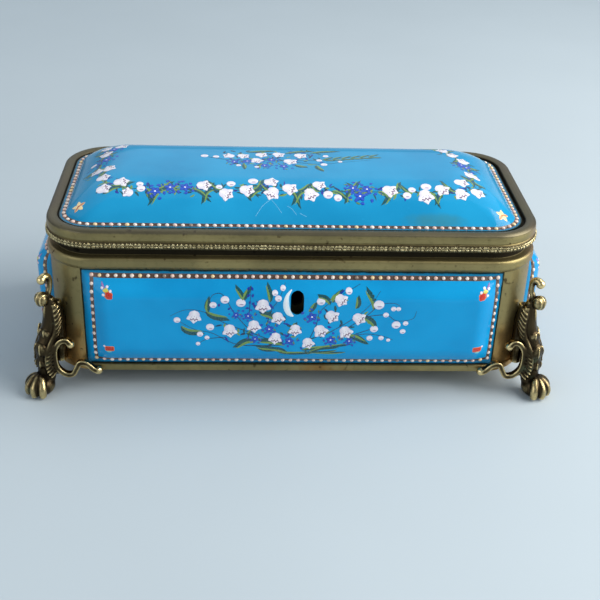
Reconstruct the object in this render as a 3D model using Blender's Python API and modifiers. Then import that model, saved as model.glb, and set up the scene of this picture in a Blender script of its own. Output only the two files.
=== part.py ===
"""Enamel jewelry box: a brass body on four cast lion-paw feet, with domed enamel plaques and a hinged lid.

Metres, +Z up. The box stands on the ground at z = 0, centred on the origin, and its front with the keyhole
faces -Y. An inset is measured inwards from the lid's outer line, which every brass moulding follows.
"""

import math

import bmesh
import bpy
from mathutils import Matrix, Vector

# Plan of the lid, which sets the plan of everything below it.
LID_LENGTH = 0.220
LID_WIDTH = 0.100
CORNER_RADIUS = 0.0215
CORNER_SEGMENTS = 7

# Heights, stacked from the ground up.
UNDERSIDE_HEIGHT = 0.0105
LOWER_RAIL_HEIGHT = 0.0033
WINDOW_HEIGHT = 0.0487
UPPER_RAIL_HEIGHT = 0.0056
REVEAL_HEIGHT = 0.0042
LID_FRAME_HEIGHT = 0.0088

LOWER_RAIL_TOP = UNDERSIDE_HEIGHT + LOWER_RAIL_HEIGHT
WINDOW_TOP = LOWER_RAIL_TOP + WINDOW_HEIGHT
RAIL_TOP = WINDOW_TOP + UPPER_RAIL_HEIGHT
LID_BOTTOM = RAIL_TOP + REVEAL_HEIGHT
LID_RIM_TOP = LID_BOTTOM + LID_FRAME_HEIGHT

# Insets of the body's faces from the lid's outer line.
LOWER_RAIL_INSET = 0.0003
POST_INSET = 0.0010
PLAQUE_INSET = 0.0015
COLLAR_INSET = 0.0040
SHEET_THICKNESS = 0.0012
FLOOR_THICKNESS = 0.0020
SEAT_GAP = 0.0003

PLAQUE_THICKNESS = 0.0012
WALL_OUTER_INSET = PLAQUE_INSET + PLAQUE_THICKNESS + SEAT_GAP
WALL_INNER_INSET = COLLAR_INSET + SHEET_THICKNESS

# Wall plaques: a pillow that rises from its edge and is flat in the middle.
POST_WIDTH = 0.0165
FRONT_BULGE = 0.0070
FRONT_SHOULDER = 0.0120
SIDE_BULGE = 0.0090
SIDE_SHOULDER = 0.0105

# Keyhole, through the front plaque and the wall behind it.
KEYHOLE_WIDTH = 0.0058
KEYHOLE_HEIGHT = 0.0112
KEYHOLE_OFFSET = 0.0014
KEYHOLE_CENTRE_HEIGHT = 0.0497

# Lid: the frame's rim, the ledge that carries the plaque, and the domed plaque.
RIM_INNER_INSET = 0.0056
LEDGE_DROP = 0.0026
LEDGE_THICKNESS = 0.0012
LEDGE_REACH = 0.0035
LID_PLAQUE_GAP = 0.0010
LID_PLAQUE_SHIFT = -0.0006
LID_DOME_LEAN = -0.0014
LID_PLAQUE_RADIUS = 0.0150
LID_FLANGE = 0.0024
LID_SHOULDER = 0.0260
LID_DOME_RISE = 0.0120
LID_CROWN = 0.0010
LID_DOME_POWER = 2.2
DOME_TIGHTEST_RADIUS = 0.0110

# Hinges, on the back of the upper rail and of the lid frame.
HINGE_SPACING = 0.124
HINGE_LENGTH = 0.026
HINGE_GAP = 0.0004
KNUCKLE_RADIUS = 0.0019
PIN_RADIUS = 0.0008
BORE_RADIUS = 0.0011
LEAF_THICKNESS = 0.0008
LEAF_CLEARANCE = 0.0003
LID_LEAF_HEIGHT = 0.0066

# Feet stand on the corners' diagonals, set back by these from the lid's ends and sides.
FOOT_SETBACK_X = 0.0200
FOOT_SETBACK_Y = 0.0217
FOOT_CENTRE_X = LID_LENGTH / 2 - FOOT_SETBACK_X
FOOT_CENTRE_Y = LID_WIDTH / 2 - FOOT_SETBACK_Y
SPINE_OUT = 0.0222
SPINE_RADIUS = 0.0034
SPINE_LOW = 0.0130
SPINE_HIGH = 0.0440

# Foot: its leg follows these stations, as (distance out from the foot's centre, height, radius).
LEG_STATIONS = (
    (0.0262, 0.0468, 0.0022),
    (0.0255, 0.0440, 0.0030),
    (0.0256, 0.0400, 0.0037),
    (0.0261, 0.0340, 0.0042),
    (0.0276, 0.0290, 0.0044),
    (0.0299, 0.0230, 0.0045),
    (0.0305, 0.0160, 0.0045),
    (0.0304, 0.0100, 0.0045),
    (0.0318, 0.0060, 0.0046),
)
# Hook on top, as (distance out, height, radius), from the leg up and over to its ball.
HOOK_STATIONS = (
    (0.0266, 0.0450, 0.0020),
    (0.0264, 0.0485, 0.0016),
    (0.0251, 0.0517, 0.0013),
    (0.0249, 0.0546, 0.0015),
    (0.0258, 0.0570, 0.0018),
    (0.0276, 0.0576, 0.0019),
    (0.0290, 0.0566, 0.0021),
)
TOP_ROLL = (0.0298, 0.0474, 0.0030, 0.0032, 0.0035)
# Crest down the leg's front, as (distance out, height, radii outwards, sideways and upwards).
CREST_LOBES = (
    (0.0282, 0.0385, 0.0014, 0.0016, 0.0052),
    (0.0303, 0.0300, 0.0017, 0.0023, 0.0026),
    (0.0330, 0.0228, 0.0022, 0.0030, 0.0041),
    (0.0334, 0.0158, 0.0019, 0.0027, 0.0027),
    (0.0326, 0.0112, 0.0018, 0.0024, 0.0022),
)
# Leaf down each flank, as (height, angle round the leg from its front in degrees, half width and
# half thickness).
FLANK_LEAF = (
    (0.0445, 86.0, 0.0012, 0.0009),
    (0.0410, 92.0, 0.0019, 0.0012),
    (0.0350, 102.0, 0.0023, 0.0013),
    (0.0300, 106.0, 0.0025, 0.0013),
    (0.0260, 98.0, 0.0025, 0.0013),
    (0.0220, 94.0, 0.0024, 0.0013),
    (0.0170, 89.0, 0.0024, 0.0013),
    (0.0130, 89.0, 0.0022, 0.0012),
    (0.0095, 94.0, 0.0016, 0.0010),
)
# Side scroll, as (distance along the face, distance out from it, height, half thickness), from its volute
# round the open C, up over the hump and down to the ball beside the lower rail.
SCROLL_STATIONS = (
    (0.0096, 0.0236, 0.0258, 0.0013),
    (0.0112, 0.0236, 0.0281, 0.0012),
    (0.0140, 0.0236, 0.0276, 0.0011),
    (0.0164, 0.0236, 0.0238, 0.0011),
    (0.0168, 0.0236, 0.0186, 0.0011),
    (0.0158, 0.0236, 0.0136, 0.0011),
    (0.0128, 0.0236, 0.0105, 0.0011),
    (0.0094, 0.0236, 0.0104, 0.0011),
    (0.0076, 0.0236, 0.0134, 0.0012),
    (0.0058, 0.0236, 0.0164, 0.0013),
    (0.0028, 0.0237, 0.0160, 0.0012),
    (0.0000, 0.0238, 0.0134, 0.0012),
    (-0.0022, 0.0240, 0.0123, 0.0014),
)
SCROLL_HALF_DEPTH = 0.0020
VOLUTE_RADII = (0.0021, 0.0024)
SCROLL_BALL_RADIUS = 0.0021
# Paw, as (distance out, height, radii outwards, sideways and upwards); each toe, in the plane that it
# points in, as (distance out from the paw's middle, height, radius).
PAW = (0.0338, 0.0043, 0.0062, 0.0062, 0.0052)
TOE_STATIONS = (
    (-0.0002, 0.0090, 0.0015),
    (0.0030, 0.0086, 0.0019),
    (0.0052, 0.0064, 0.0021),
    (0.0062, 0.0038, 0.0021),
    (0.0058, 0.0014, 0.0018),
)
TOE_TURNS_DEG = (-54.0, -18.0, 18.0, 54.0)
FOOT_VOXEL = 0.0005
FOOT_FACET_SHARE = 0.0245

BRASS = ("brass", (0.45, 0.35, 0.16), 0.38, 1.0)
BRONZE = ("cast_bronze", (0.33, 0.27, 0.15), 0.42, 1.0)
ENAMEL = ("blue_enamel", (0.05, 0.36, 0.72), 0.12, 0.0)


def clear_scene():
    """Removes whatever the scene holds."""
    for thing in list(bpy.data.objects):
        bpy.data.objects.remove(thing, do_unlink=True)


def new_collection(name, shown=True):
    """A collection in the scene, hidden from renders if it only holds cutters."""
    made = bpy.data.collections.new(name)
    bpy.context.scene.collection.children.link(made)
    made.hide_render = not shown
    return made


def surface(name, colour, roughness, metallic):
    """A Principled material."""
    made = bpy.data.materials.new(name)
    made.use_nodes = True
    shader = made.node_tree.nodes["Principled BSDF"]
    shader.inputs["Base Color"].default_value = (*colour, 1.0)
    shader.inputs["Roughness"].default_value = roughness
    shader.inputs["Metallic"].default_value = metallic
    return made


def add_object(name, data, collection, material=None):
    """An object for this mesh or curve, in that collection."""
    made = bpy.data.objects.new(name, data)
    collection.objects.link(made)
    if material is not None:
        data.materials.append(material)
    return made


def rounded_rectangle(half_length, half_width, radius, segments=CORNER_SEGMENTS):
    """Points round a rectangle with round corners, anticlockwise from its right side."""
    points = []
    for corner, (sign_x, sign_y) in enumerate(((1, 1), (-1, 1), (-1, -1), (1, -1))):
        centre = Vector((sign_x * (half_length - radius), sign_y * (half_width - radius)))
        for step in range(segments + 1):
            angle = math.radians(90.0) * (corner + step / segments)
            points.append(centre + radius * Vector((math.cos(angle), math.sin(angle))))
    return points


def inset_outline(inset):
    """The lid's outer line moved inwards."""
    return rounded_rectangle(LID_LENGTH / 2 - inset, LID_WIDTH / 2 - inset, CORNER_RADIUS - inset)


def poly_curve(name, points, radii=None, closed=True, flat=True):
    """A curve of one POLY spline through these points."""
    curve = bpy.data.curves.new(name, "CURVE")
    curve.dimensions = "2D" if flat else "3D"
    spline = curve.splines.new("POLY")
    spline.points.add(len(points) - 1)
    for index, (target, point) in enumerate(zip(spline.points, points)):
        target.co = (*point, *([0.0] * (3 - len(point))), 1.0)
        target.radius = radii[index] if radii else 1.0
    spline.use_cyclic_u = closed
    return curve


def mesh_of(curve_object):
    """The evaluated mesh of a curve object, welded, in place of the curve."""
    bpy.context.view_layer.update()
    evaluated = curve_object.evaluated_get(bpy.context.evaluated_depsgraph_get())
    mesh = bpy.data.meshes.new_from_object(evaluated)
    mesh.transform(curve_object.matrix_world)
    work = bmesh.new()
    work.from_mesh(mesh)
    bmesh.ops.remove_doubles(work, verts=work.verts, dist=1e-6)
    bmesh.ops.recalc_face_normals(work, faces=work.faces)
    work.to_mesh(mesh)
    work.free()
    bpy.data.objects.remove(curve_object, do_unlink=True)
    return mesh


def moulding(name, profile, collection, material=None):
    """A closed ring: a profile of (inset, height) points swept round the lid's outer line."""
    section = add_object(name + "_section", poly_curve(name + "_section", profile), collection)
    path = poly_curve(name + "_path", inset_outline(0.0))
    path.bevel_mode = "OBJECT"
    path.bevel_object = section
    mesh = mesh_of(add_object(name + "_path", path, collection))
    bpy.data.objects.remove(section, do_unlink=True)
    return add_object(name, mesh, collection, material)


def slab(name, outline, low, high, collection, material=None):
    """A flat outline given thickness between two heights."""
    curve = poly_curve(name, outline)
    curve.fill_mode = "BOTH"
    curve.extrude = (high - low) / 2
    made = add_object(name + "_outline", curve, collection)
    made.location.z = (high + low) / 2
    return add_object(name, mesh_of(made), collection, material)


def box(name, low, high, collection, material=None):
    """A box between two corners."""
    work = bmesh.new()
    bmesh.ops.create_cube(work, size=1.0)
    size = Vector(high) - Vector(low)
    centre = (Vector(high) + Vector(low)) / 2
    place = Matrix.Translation(centre) @ Matrix.Diagonal((*size, 1.0))
    bmesh.ops.transform(work, matrix=place, verts=work.verts)
    return add_object(name, finished_mesh(name, work), collection, material)


def finished_mesh(name, work):
    """The mesh of a bmesh, which is then freed."""
    mesh = bpy.data.meshes.new(name)
    work.to_mesh(mesh)
    work.free()
    return mesh


def combine(target, tool, operation):
    """A Boolean modifier that joins, cuts or keeps what is common with the tool, which becomes a guide."""
    modifier = target.modifiers.new(operation.title(), "BOOLEAN")
    modifier.operation = operation
    modifier.solver = "EXACT"
    modifier.object = tool
    tool.hide_render = True
    tool.display_type = "WIRE"


def make_body(parts, cutters, brass, keyhole):
    """Floor, walls, corner posts, rails and the collar that the lid rests on, as one soldered piece."""
    bead = UPPER_RAIL_HEIGHT / 5
    collar_top = LID_BOTTOM - SEAT_GAP
    profile = (
        (WALL_INNER_INSET, UNDERSIDE_HEIGHT),
        (LOWER_RAIL_INSET + bead / 2, UNDERSIDE_HEIGHT),
        (LOWER_RAIL_INSET, UNDERSIDE_HEIGHT + bead / 2),
        (LOWER_RAIL_INSET, LOWER_RAIL_TOP - bead / 2),
        (POST_INSET, LOWER_RAIL_TOP),
        (POST_INSET, WINDOW_TOP),
        (POST_INSET / 2, WINDOW_TOP + bead / 2),
        (0.0, WINDOW_TOP + 1.5 * bead),
        (0.0, RAIL_TOP - 1.2 * bead),
        (bead / 3, RAIL_TOP - bead / 3),
        (bead, RAIL_TOP),
        (COLLAR_INSET, RAIL_TOP),
        (COLLAR_INSET, collar_top),
        (WALL_INNER_INSET, collar_top),
    )
    body = moulding("body_frame", profile, parts, brass)
    floor_outline = inset_outline((WALL_INNER_INSET + COLLAR_INSET) / 2)
    floor = slab("floor_plate", floor_outline, UNDERSIDE_HEIGHT, UNDERSIDE_HEIGHT + FLOOR_THICKNESS, cutters)
    combine(body, floor, "UNION")
    for name, half_length, side in window_layout():
        combine(body, window_cutter(name, half_length, side, cutters), "DIFFERENCE")
    combine(body, keyhole, "DIFFERENCE")
    return body


def window_layout():
    """Each wall plaque's name, half the length of its window and the turn that brings -Y to its wall."""
    half_front = LID_LENGTH / 2 - POST_WIDTH
    half_side = LID_WIDTH / 2 - POST_WIDTH - CORNER_RADIUS / 6
    return (
        ("front", half_front, 0.0),
        ("right", half_side, 90.0),
        ("back", half_front, 180.0),
        ("left", half_side, 270.0),
    )


def wall_distance(turn):
    """How far the lid's outer line is from the centre, on the wall that this turn names."""
    return (LID_WIDTH if turn % 180.0 == 0.0 else LID_LENGTH) / 2


def window_cutter(name, half_length, turn, cutters):
    """The recess that a wall plaque sits in: as deep as the wall behind it."""
    face = -wall_distance(turn)
    low = (-half_length, face - CORNER_RADIUS, LOWER_RAIL_TOP)
    high = (half_length, face + WALL_OUTER_INSET, WINDOW_TOP)
    cutter = box("window_" + name, low, high, cutters)
    cutter.rotation_euler.z = math.radians(turn)
    return cutter


def pillow_share(distance, shoulder):
    """How much of the bulge is reached at this distance from the plaque's edge, from 0 to 1."""
    return math.sin(math.pi / 2 * min(distance / shoulder, 1.0))


def shoulder_stations(half, shoulder, count):
    """Grid lines across a plaque: close together on its shoulders, and one in the middle."""
    near = [half * -1.0 + shoulder * step / count for step in range(count + 1)]
    return near + [0.0] + [-place for place in reversed(near)]


def make_wall_plaque(name, half_length, turn, parts, enamel):
    """A domed sheet of enamelled copper that fills its window, bulging outwards."""
    half_length = half_length - SEAT_GAP
    half_height = WINDOW_HEIGHT / 2 - SEAT_GAP
    long_wall = turn % 180.0 == 0.0
    bulge = FRONT_BULGE if long_wall else SIDE_BULGE
    shoulder = FRONT_SHOULDER if long_wall else SIDE_SHOULDER
    across = shoulder_stations(half_length, shoulder, 4)
    up = shoulder_stations(half_height, shoulder, 4)
    work = bmesh.new()
    bmesh.ops.create_grid(work, x_segments=len(across) - 1, y_segments=len(up) - 1, size=1.0)
    for vertex in work.verts:
        column = round((vertex.co.x + 1.0) / 2 * (len(across) - 1))
        row = round((vertex.co.y + 1.0) / 2 * (len(up) - 1))
        from_end = half_length - abs(across[column])
        from_edge = half_height - abs(up[row])
        rise = bulge * pillow_share(from_end, shoulder) * pillow_share(from_edge, shoulder)
        vertex.co = (across[column], -rise, up[row])
    plaque = add_object(name + "_plaque", finished_mesh(name + "_plaque", work), parts, enamel)
    face = wall_distance(turn) - PLAQUE_INSET
    angle = math.radians(turn)
    plaque.location = (face * math.sin(angle), -face * math.cos(angle), (LOWER_RAIL_TOP + WINDOW_TOP) / 2)
    plaque.rotation_euler.z = angle
    thicken(plaque, PLAQUE_THICKNESS)
    return plaque


def thicken(sheet, thickness):
    """Gives an open sheet its thickness, on the side away from its faces."""
    solidify = sheet.modifiers.new("Thickness", "SOLIDIFY")
    solidify.thickness = thickness
    solidify.offset = -1.0
    solidify.use_even_offset = True


def make_keyhole_cutter(cutters):
    """An upright slot with round ends, long enough to pass plaque and wall."""
    radius = KEYHOLE_WIDTH / 2
    outline = rounded_rectangle(radius, KEYHOLE_HEIGHT / 2, radius * 0.999, 6)
    slot = slab("keyhole_slot", outline, -CORNER_RADIUS, CORNER_RADIUS, cutters)
    slot.rotation_euler.x = math.radians(90.0)
    slot.location = (KEYHOLE_OFFSET, -LID_WIDTH / 2, KEYHOLE_CENTRE_HEIGHT)
    slot.hide_render = True
    slot.display_type = "WIRE"
    return slot


def make_lid_frame(parts, brass):
    """The brass ring of the lid: engraved band, plain band, round rim and the ledge inside it."""
    base = LID_BOTTOM
    ledge_top = LID_RIM_TOP - LEDGE_DROP
    ledge_end = RIM_INNER_INSET + LEDGE_REACH
    unit = LID_FRAME_HEIGHT / 8.8
    profile = (
        (RIM_INNER_INSET + SEAT_GAP, base),
        (0.9 * unit, base),
        (0.15 * unit, base + 0.6 * unit),
        (0.0, base + 1.9 * unit),
        (0.25 * unit, base + 3.3 * unit),
        (0.9 * unit, base + 3.8 * unit),
        (0.45 * unit, base + 4.2 * unit),
        (0.45 * unit, base + 6.0 * unit),
        (0.70 * unit, base + 7.8 * unit),
        (1.15 * unit, base + 8.2 * unit),
        (1.8 * unit, base + 8.6 * unit),
        (2.9 * unit, LID_RIM_TOP),
        (RIM_INNER_INSET * 0.75, LID_RIM_TOP - 0.2 * unit),
        (RIM_INNER_INSET * 0.94, LID_RIM_TOP - 0.6 * unit),
        (RIM_INNER_INSET, LID_RIM_TOP - 1.1 * unit),
        (RIM_INNER_INSET, ledge_top),
        (ledge_end, ledge_top),
        (ledge_end, ledge_top - LEDGE_THICKNESS),
        (RIM_INNER_INSET + SEAT_GAP, ledge_top - LEDGE_THICKNESS),
    )
    return moulding("lid_frame", profile, parts, brass)


def shoulder_share(distance):
    """How far up its shoulder the lid's plaque is, from 0 to 1, this far in from its edge."""
    return min(max((distance - LID_FLANGE) / LID_SHOULDER, 0.0), 1.0)


def dome_height(distance, half_width):
    """Height of the lid's plaque over its flange, this far in from its edge."""
    share = shoulder_share(distance)
    crown = LID_CROWN * math.sin(math.pi / 2 * distance / half_width)
    return LID_DOME_RISE * (1.0 - (1.0 - share) ** LID_DOME_POWER) + crown


def make_lid_plaque(parts, enamel):
    """The domed plaque of the lid: a loft of ever smaller rounded rectangles, given its thickness.

    The dome was raised by hand and leans a little to the left.
    """
    edge = RIM_INNER_INSET + LID_PLAQUE_GAP
    half_length = LID_LENGTH / 2 - edge
    half_width = LID_WIDTH / 2 - edge
    base = LID_RIM_TOP - LEDGE_DROP + SEAT_GAP + PLAQUE_THICKNESS
    spread = (0.0, 0.1, 0.2, 0.32, 0.48, 0.68, 1.0)
    insets = [LID_FLANGE + LID_SHOULDER * share for share in spread] + [half_width * 0.82, half_width * 0.95]
    work = bmesh.new()
    rings = []
    for inset in [0.0] + insets:
        radius = max(LID_PLAQUE_RADIUS - inset, min(DOME_TIGHTEST_RADIUS, (half_width - inset) * 0.9))
        outline = rounded_rectangle(half_length - inset, half_width - inset, radius, 5)
        height = base + dome_height(inset, half_width)
        lean = LID_DOME_LEAN * shoulder_share(inset)
        corners = [work.verts.new((point.x + lean, point.y, height)) for point in outline]
        rings.append([work.edges.new((a, b)) for a, b in zip(corners, corners[1:] + corners[:1])])
    for outer, inner in zip(rings, rings[1:]):
        bmesh.ops.bridge_loops(work, edges=outer + inner)
    bmesh.ops.contextual_create(work, geom=rings[-1])
    bmesh.ops.recalc_face_normals(work, faces=work.faces)
    if sum((face.normal.z for face in work.faces)) < 0:
        bmesh.ops.reverse_faces(work, faces=work.faces)
    plaque = add_object("lid_plaque", finished_mesh("lid_plaque", work), parts, enamel)
    plaque.location.x = LID_PLAQUE_SHIFT
    thicken(plaque, PLAQUE_THICKNESS)
    return plaque


def hinge_axis():
    """Where the hinges' common axis crosses the plane x = 0."""
    out = LID_WIDTH / 2 + LEAF_CLEARANCE + KNUCKLE_RADIUS
    return Vector((0.0, out, (RAIL_TOP + LID_BOTTOM) / 2))


def rod(name, radius, start, end, collection, segments=12, material=None):
    """A round bar along X on the hinge axis, between two places."""
    work = bmesh.new()
    size = {"segments": segments, "radius1": radius, "radius2": radius, "depth": end - start}
    bmesh.ops.create_cone(work, cap_ends=True, **size)
    turn = Matrix.Translation(hinge_axis() + Vector(((start + end) / 2, 0.0, 0.0))) @ Matrix.Rotation(
        math.radians(90.0), 4, "Y"
    )
    bmesh.ops.transform(work, matrix=turn, verts=work.verts)
    return add_object(name, finished_mesh(name, work), collection, material)


def make_hinge(side, centre, parts, cutters, brass):
    """One butt hinge: a body leaf with two knuckles, a lid leaf with one, and the pin."""
    axis = hinge_axis()
    inner = LID_WIDTH / 2 + LEAF_CLEARANCE
    outer = inner + LEAF_THICKNESS
    knuckle = HINGE_LENGTH / 3
    start = centre - HINGE_LENGTH / 2
    swing = KNUCKLE_RADIUS + HINGE_GAP
    bore = rod(f"hinge_{side}_bore", BORE_RADIUS, start - 0.001, start + HINGE_LENGTH + 0.001, cutters)

    body_leaf = box(
        f"hinge_{side}_body_leaf",
        (start, inner, WINDOW_TOP + SEAT_GAP),
        (start + HINGE_LENGTH, outer, axis.z - swing),
        parts,
        brass,
    )
    for index in (0, 2):
        low, high = knuckle_span(start, knuckle, index)
        low_end = axis.z - swing - HINGE_GAP
        tongue = box(f"hinge_{side}_tongue_{index}", (low, inner, low_end), (high, outer, axis.z), cutters)
        combine(body_leaf, tongue, "UNION")
        combine(body_leaf, rod(f"hinge_{side}_knuckle_{index}", KNUCKLE_RADIUS, low, high, cutters), "UNION")
    combine(body_leaf, bore, "DIFFERENCE")

    lid_leaf = box(
        f"hinge_{side}_lid_leaf",
        (start, inner, axis.z + swing),
        (start + HINGE_LENGTH, outer, axis.z + swing + LID_LEAF_HEIGHT),
        parts,
        brass,
    )
    low, high = knuckle_span(start, knuckle, 1)
    high_end = axis.z + swing + HINGE_GAP
    tongue = box(f"hinge_{side}_tongue_1", (low, inner, axis.z), (high, outer, high_end), cutters)
    combine(lid_leaf, tongue, "UNION")
    combine(lid_leaf, rod(f"hinge_{side}_knuckle_1", KNUCKLE_RADIUS, low, high, cutters), "UNION")
    combine(lid_leaf, bore, "DIFFERENCE")

    rod(f"hinge_{side}_pin", PIN_RADIUS, start, start + HINGE_LENGTH, parts, material=brass)


def knuckle_span(start, knuckle, index):
    """Where this knuckle of a hinge begins and ends, with a running gap at both ends."""
    return start + index * knuckle + HINGE_GAP / 2, start + (index + 1) * knuckle - HINGE_GAP / 2


def add_ball(work, centre, radii, segments=16, rings=10):
    """Adds a sphere or ellipsoid to a bmesh."""
    place = Matrix.Translation(centre) @ Matrix.Diagonal((*radii, 1.0))
    bmesh.ops.create_uvsphere(work, u_segments=segments, v_segments=rings, radius=1.0, matrix=place)


def add_rope(work, points, halves, across, segments=12):
    """Adds a bar with filled ends to a bmesh, through points.

    At each point its section is an ellipse: half its width, half its depth, and the way its depth points.
    """
    points = [Vector(point) for point in points]
    rings = []
    for index, (point, (half_width, half_depth), deep) in enumerate(zip(points, halves, across)):
        ahead = points[min(index + 1, len(points) - 1)] - points[max(index - 1, 0)]
        wide = ahead.cross(deep).normalized()
        ring = []
        for step in range(segments):
            angle = 2 * math.pi * step / segments
            place = point + wide * half_width * math.cos(angle) + deep * half_depth * math.sin(angle)
            ring.append(work.verts.new(place))
        rings.append(ring)
    for first, second in zip(rings, rings[1:]):
        for step in range(segments):
            after = (step + 1) % segments
            work.faces.new((first[step], first[after], second[after], second[step]))
    work.faces.new(tuple(reversed(rings[0])))
    work.faces.new(tuple(rings[-1]))


def add_round_rope(work, points, radii, deep):
    """A bar of round section whose line lies in one plane, with that plane's normal given."""
    add_rope(work, points, [(radius, radius) for radius in radii], [Vector(deep)] * len(points))


def face_point(along, out, height, side):
    """A point given along and out from one of the corner's two faces, in the foot's own axes."""
    return Vector(((along + out) / math.sqrt(2), side * (out - along) / math.sqrt(2), height))


def smooth_line(points, steps):
    """Points, each a tuple of any length, joined by a smooth curve through them all."""
    ends = [points[0], *points, points[-1]]
    line = []
    for before, first, second, after in zip(ends, ends[1:], ends[2:], ends[3:]):
        for step in range(steps):
            t = step / steps
            weights = (
                (-t + 2 * t**2 - t**3) / 2,
                (2 - 5 * t**2 + 3 * t**3) / 2,
                (t + 4 * t**2 - 3 * t**3) / 2,
                (t**3 - t**2) / 2,
            )
            corners = zip(before, first, second, after)
            line.append(tuple(sum(w * c for w, c in zip(weights, values)) for values in corners))
    line.append(points[-1])
    return line


def leg_at(height, leg):
    """How far out the leg's middle is at a height, and its radius there."""
    for (out, top, radius), (next_out, bottom, next_radius) in zip(leg, leg[1:]):
        if top >= height >= bottom:
            share = (top - height) / (top - bottom)
            return out + (next_out - out) * share, radius + (next_radius - radius) * share
    return leg[-1][0], leg[-1][2]


def add_flank_leaf(work, leg, side):
    """The raised leaf that winds down one flank of the leg."""
    points = []
    halves = []
    across = []
    for height, turn_deg, half_width, half_depth in smooth_line(FLANK_LEAF, 3):
        out, radius = leg_at(height, leg)
        away = Vector((math.cos(math.radians(turn_deg)), side * math.sin(math.radians(turn_deg)), 0.0))
        points.append(Vector((out, 0.0, height)) + away * radius)
        halves.append((half_width, half_depth))
        across.append(away)
    add_rope(work, points, halves, across)


def add_paw(work):
    """The paw's pad and its toes, which curl over it down to the ground."""
    paw_out, paw_height, *paw_radii = PAW
    add_ball(work, (paw_out, 0.0, paw_height), paw_radii)
    for turn_deg in TOE_TURNS_DEG:
        turn = Matrix.Rotation(math.radians(turn_deg), 3, "Z")
        toe = smooth_line(TOE_STATIONS, 2)
        points = [turn @ Vector((out, 0.0, height)) + Vector((paw_out, 0.0, 0.0)) for out, height, _ in toe]
        add_round_rope(work, points, [radius for *_, radius in toe], turn @ Vector((0.0, 1.0, 0.0)))


def add_scroll(work, side):
    """The flat bar that curls along one face of the box, with its volute and its ball."""
    scroll = smooth_line(SCROLL_STATIONS, 3)
    points = [face_point(along, out, height, side) for along, out, height, _ in scroll]
    halves = [(half_thickness, SCROLL_HALF_DEPTH) for *_, half_thickness in scroll]
    outwards = face_point(0.0, 1.0, 0.0, side)
    add_rope(work, points, halves, [outwards] * len(points))
    volute_radius, volute_half_depth = VOLUTE_RADII
    turn = Matrix.Rotation(math.atan2(outwards.y, outwards.x), 4, "Z")
    volute = Matrix.Diagonal((volute_half_depth, volute_radius, volute_radius, 1.0))
    place = Matrix.Translation(points[0]) @ turn @ volute
    bmesh.ops.create_uvsphere(work, u_segments=16, v_segments=10, radius=1.0, matrix=place)
    add_ball(work, points[-1], (SCROLL_BALL_RADIUS,) * 3)


def make_foot_mesh(cutters):
    """One cast foot: S-shaped leg, crest and flank leaves, paw, top volutes and a scroll along each face.

    In its own axes +X points out through the box's corner, and the origin is under the corner's centre.
    """
    work = bmesh.new()
    sideways = (0.0, 1.0, 0.0)
    leg = smooth_line(LEG_STATIONS, 3)
    hook = smooth_line(HOOK_STATIONS, 2)
    spine_step = (SPINE_HIGH - SPINE_LOW) / 4
    spine = [(SPINE_OUT, 0.0, SPINE_LOW + spine_step * step) for step in range(5)]
    spine_radii = (SPINE_RADIUS * 0.7, *(SPINE_RADIUS,) * 3, SPINE_RADIUS * 0.6)
    for stations in (leg, hook):
        points = [(out, 0.0, height) for out, height, _ in stations]
        add_round_rope(work, points, [radius for *_, radius in stations], sideways)
    add_round_rope(work, spine, spine_radii, sideways)
    for out, height, *radii in (TOP_ROLL, *CREST_LOBES):
        add_ball(work, (out, 0.0, height), radii)
    hook_out, hook_height, hook_radius = HOOK_STATIONS[-1]
    add_ball(work, (hook_out, 0.0, hook_height), (hook_radius * 1.1,) * 3)
    add_paw(work)
    for side in (-1, 1):
        add_flank_leaf(work, leg, side)
        add_scroll(work, side)
    foot = add_object("foot_casting", finished_mesh("foot_casting", work), cutters)
    skin = foot.modifiers.new("Skin", "REMESH")
    skin.mode = "VOXEL"
    skin.voxel_size = FOOT_VOXEL
    facets = foot.modifiers.new("Facets", "DECIMATE")
    facets.ratio = FOOT_FACET_SHARE
    combine(foot, box("foot_sole_cut", (-1.0, -1.0, -1.0), (1.0, 1.0, 0.0), cutters), "DIFFERENCE")
    bpy.context.view_layer.update()
    mesh = bpy.data.meshes.new_from_object(foot.evaluated_get(bpy.context.evaluated_depsgraph_get()))
    bpy.data.objects.remove(foot, do_unlink=True)
    return mesh


def make_feet(parts, cutters, bronze):
    """Four like feet, each turned to its corner and cut back to clear the body that it is fixed to."""
    mesh = make_foot_mesh(cutters)
    mesh.materials.clear()
    mesh.materials.append(bronze)
    rail_room_top = LOWER_RAIL_TOP + SEAT_GAP
    rail_outline = inset_outline(LOWER_RAIL_INSET - SEAT_GAP)
    rooms = (
        slab("room_for_rail", rail_outline, UNDERSIDE_HEIGHT - SEAT_GAP, rail_room_top, cutters),
        slab("room_for_posts", inset_outline(POST_INSET - SEAT_GAP), LOWER_RAIL_TOP, RAIL_TOP, cutters),
    )
    for end, sign_y in (("front", -1), ("back", 1)):
        for side, sign_x in (("left", -1), ("right", 1)):
            foot = bpy.data.objects.new(f"foot_{end}_{side}", mesh)
            parts.objects.link(foot)
            foot.location.x = sign_x * FOOT_CENTRE_X
            foot.location.y = sign_y * FOOT_CENTRE_Y
            foot.rotation_euler.z = math.atan2(sign_y, sign_x)
            for room in rooms:
                combine(foot, room, "DIFFERENCE")


def shade(parts):
    """Smooth shading with crisp edges on every part."""
    for part in parts.objects:
        if part.type == "MESH":
            part.data.shade_smooth()
            part.data.set_sharp_from_angle(angle=math.radians(40.0))


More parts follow.
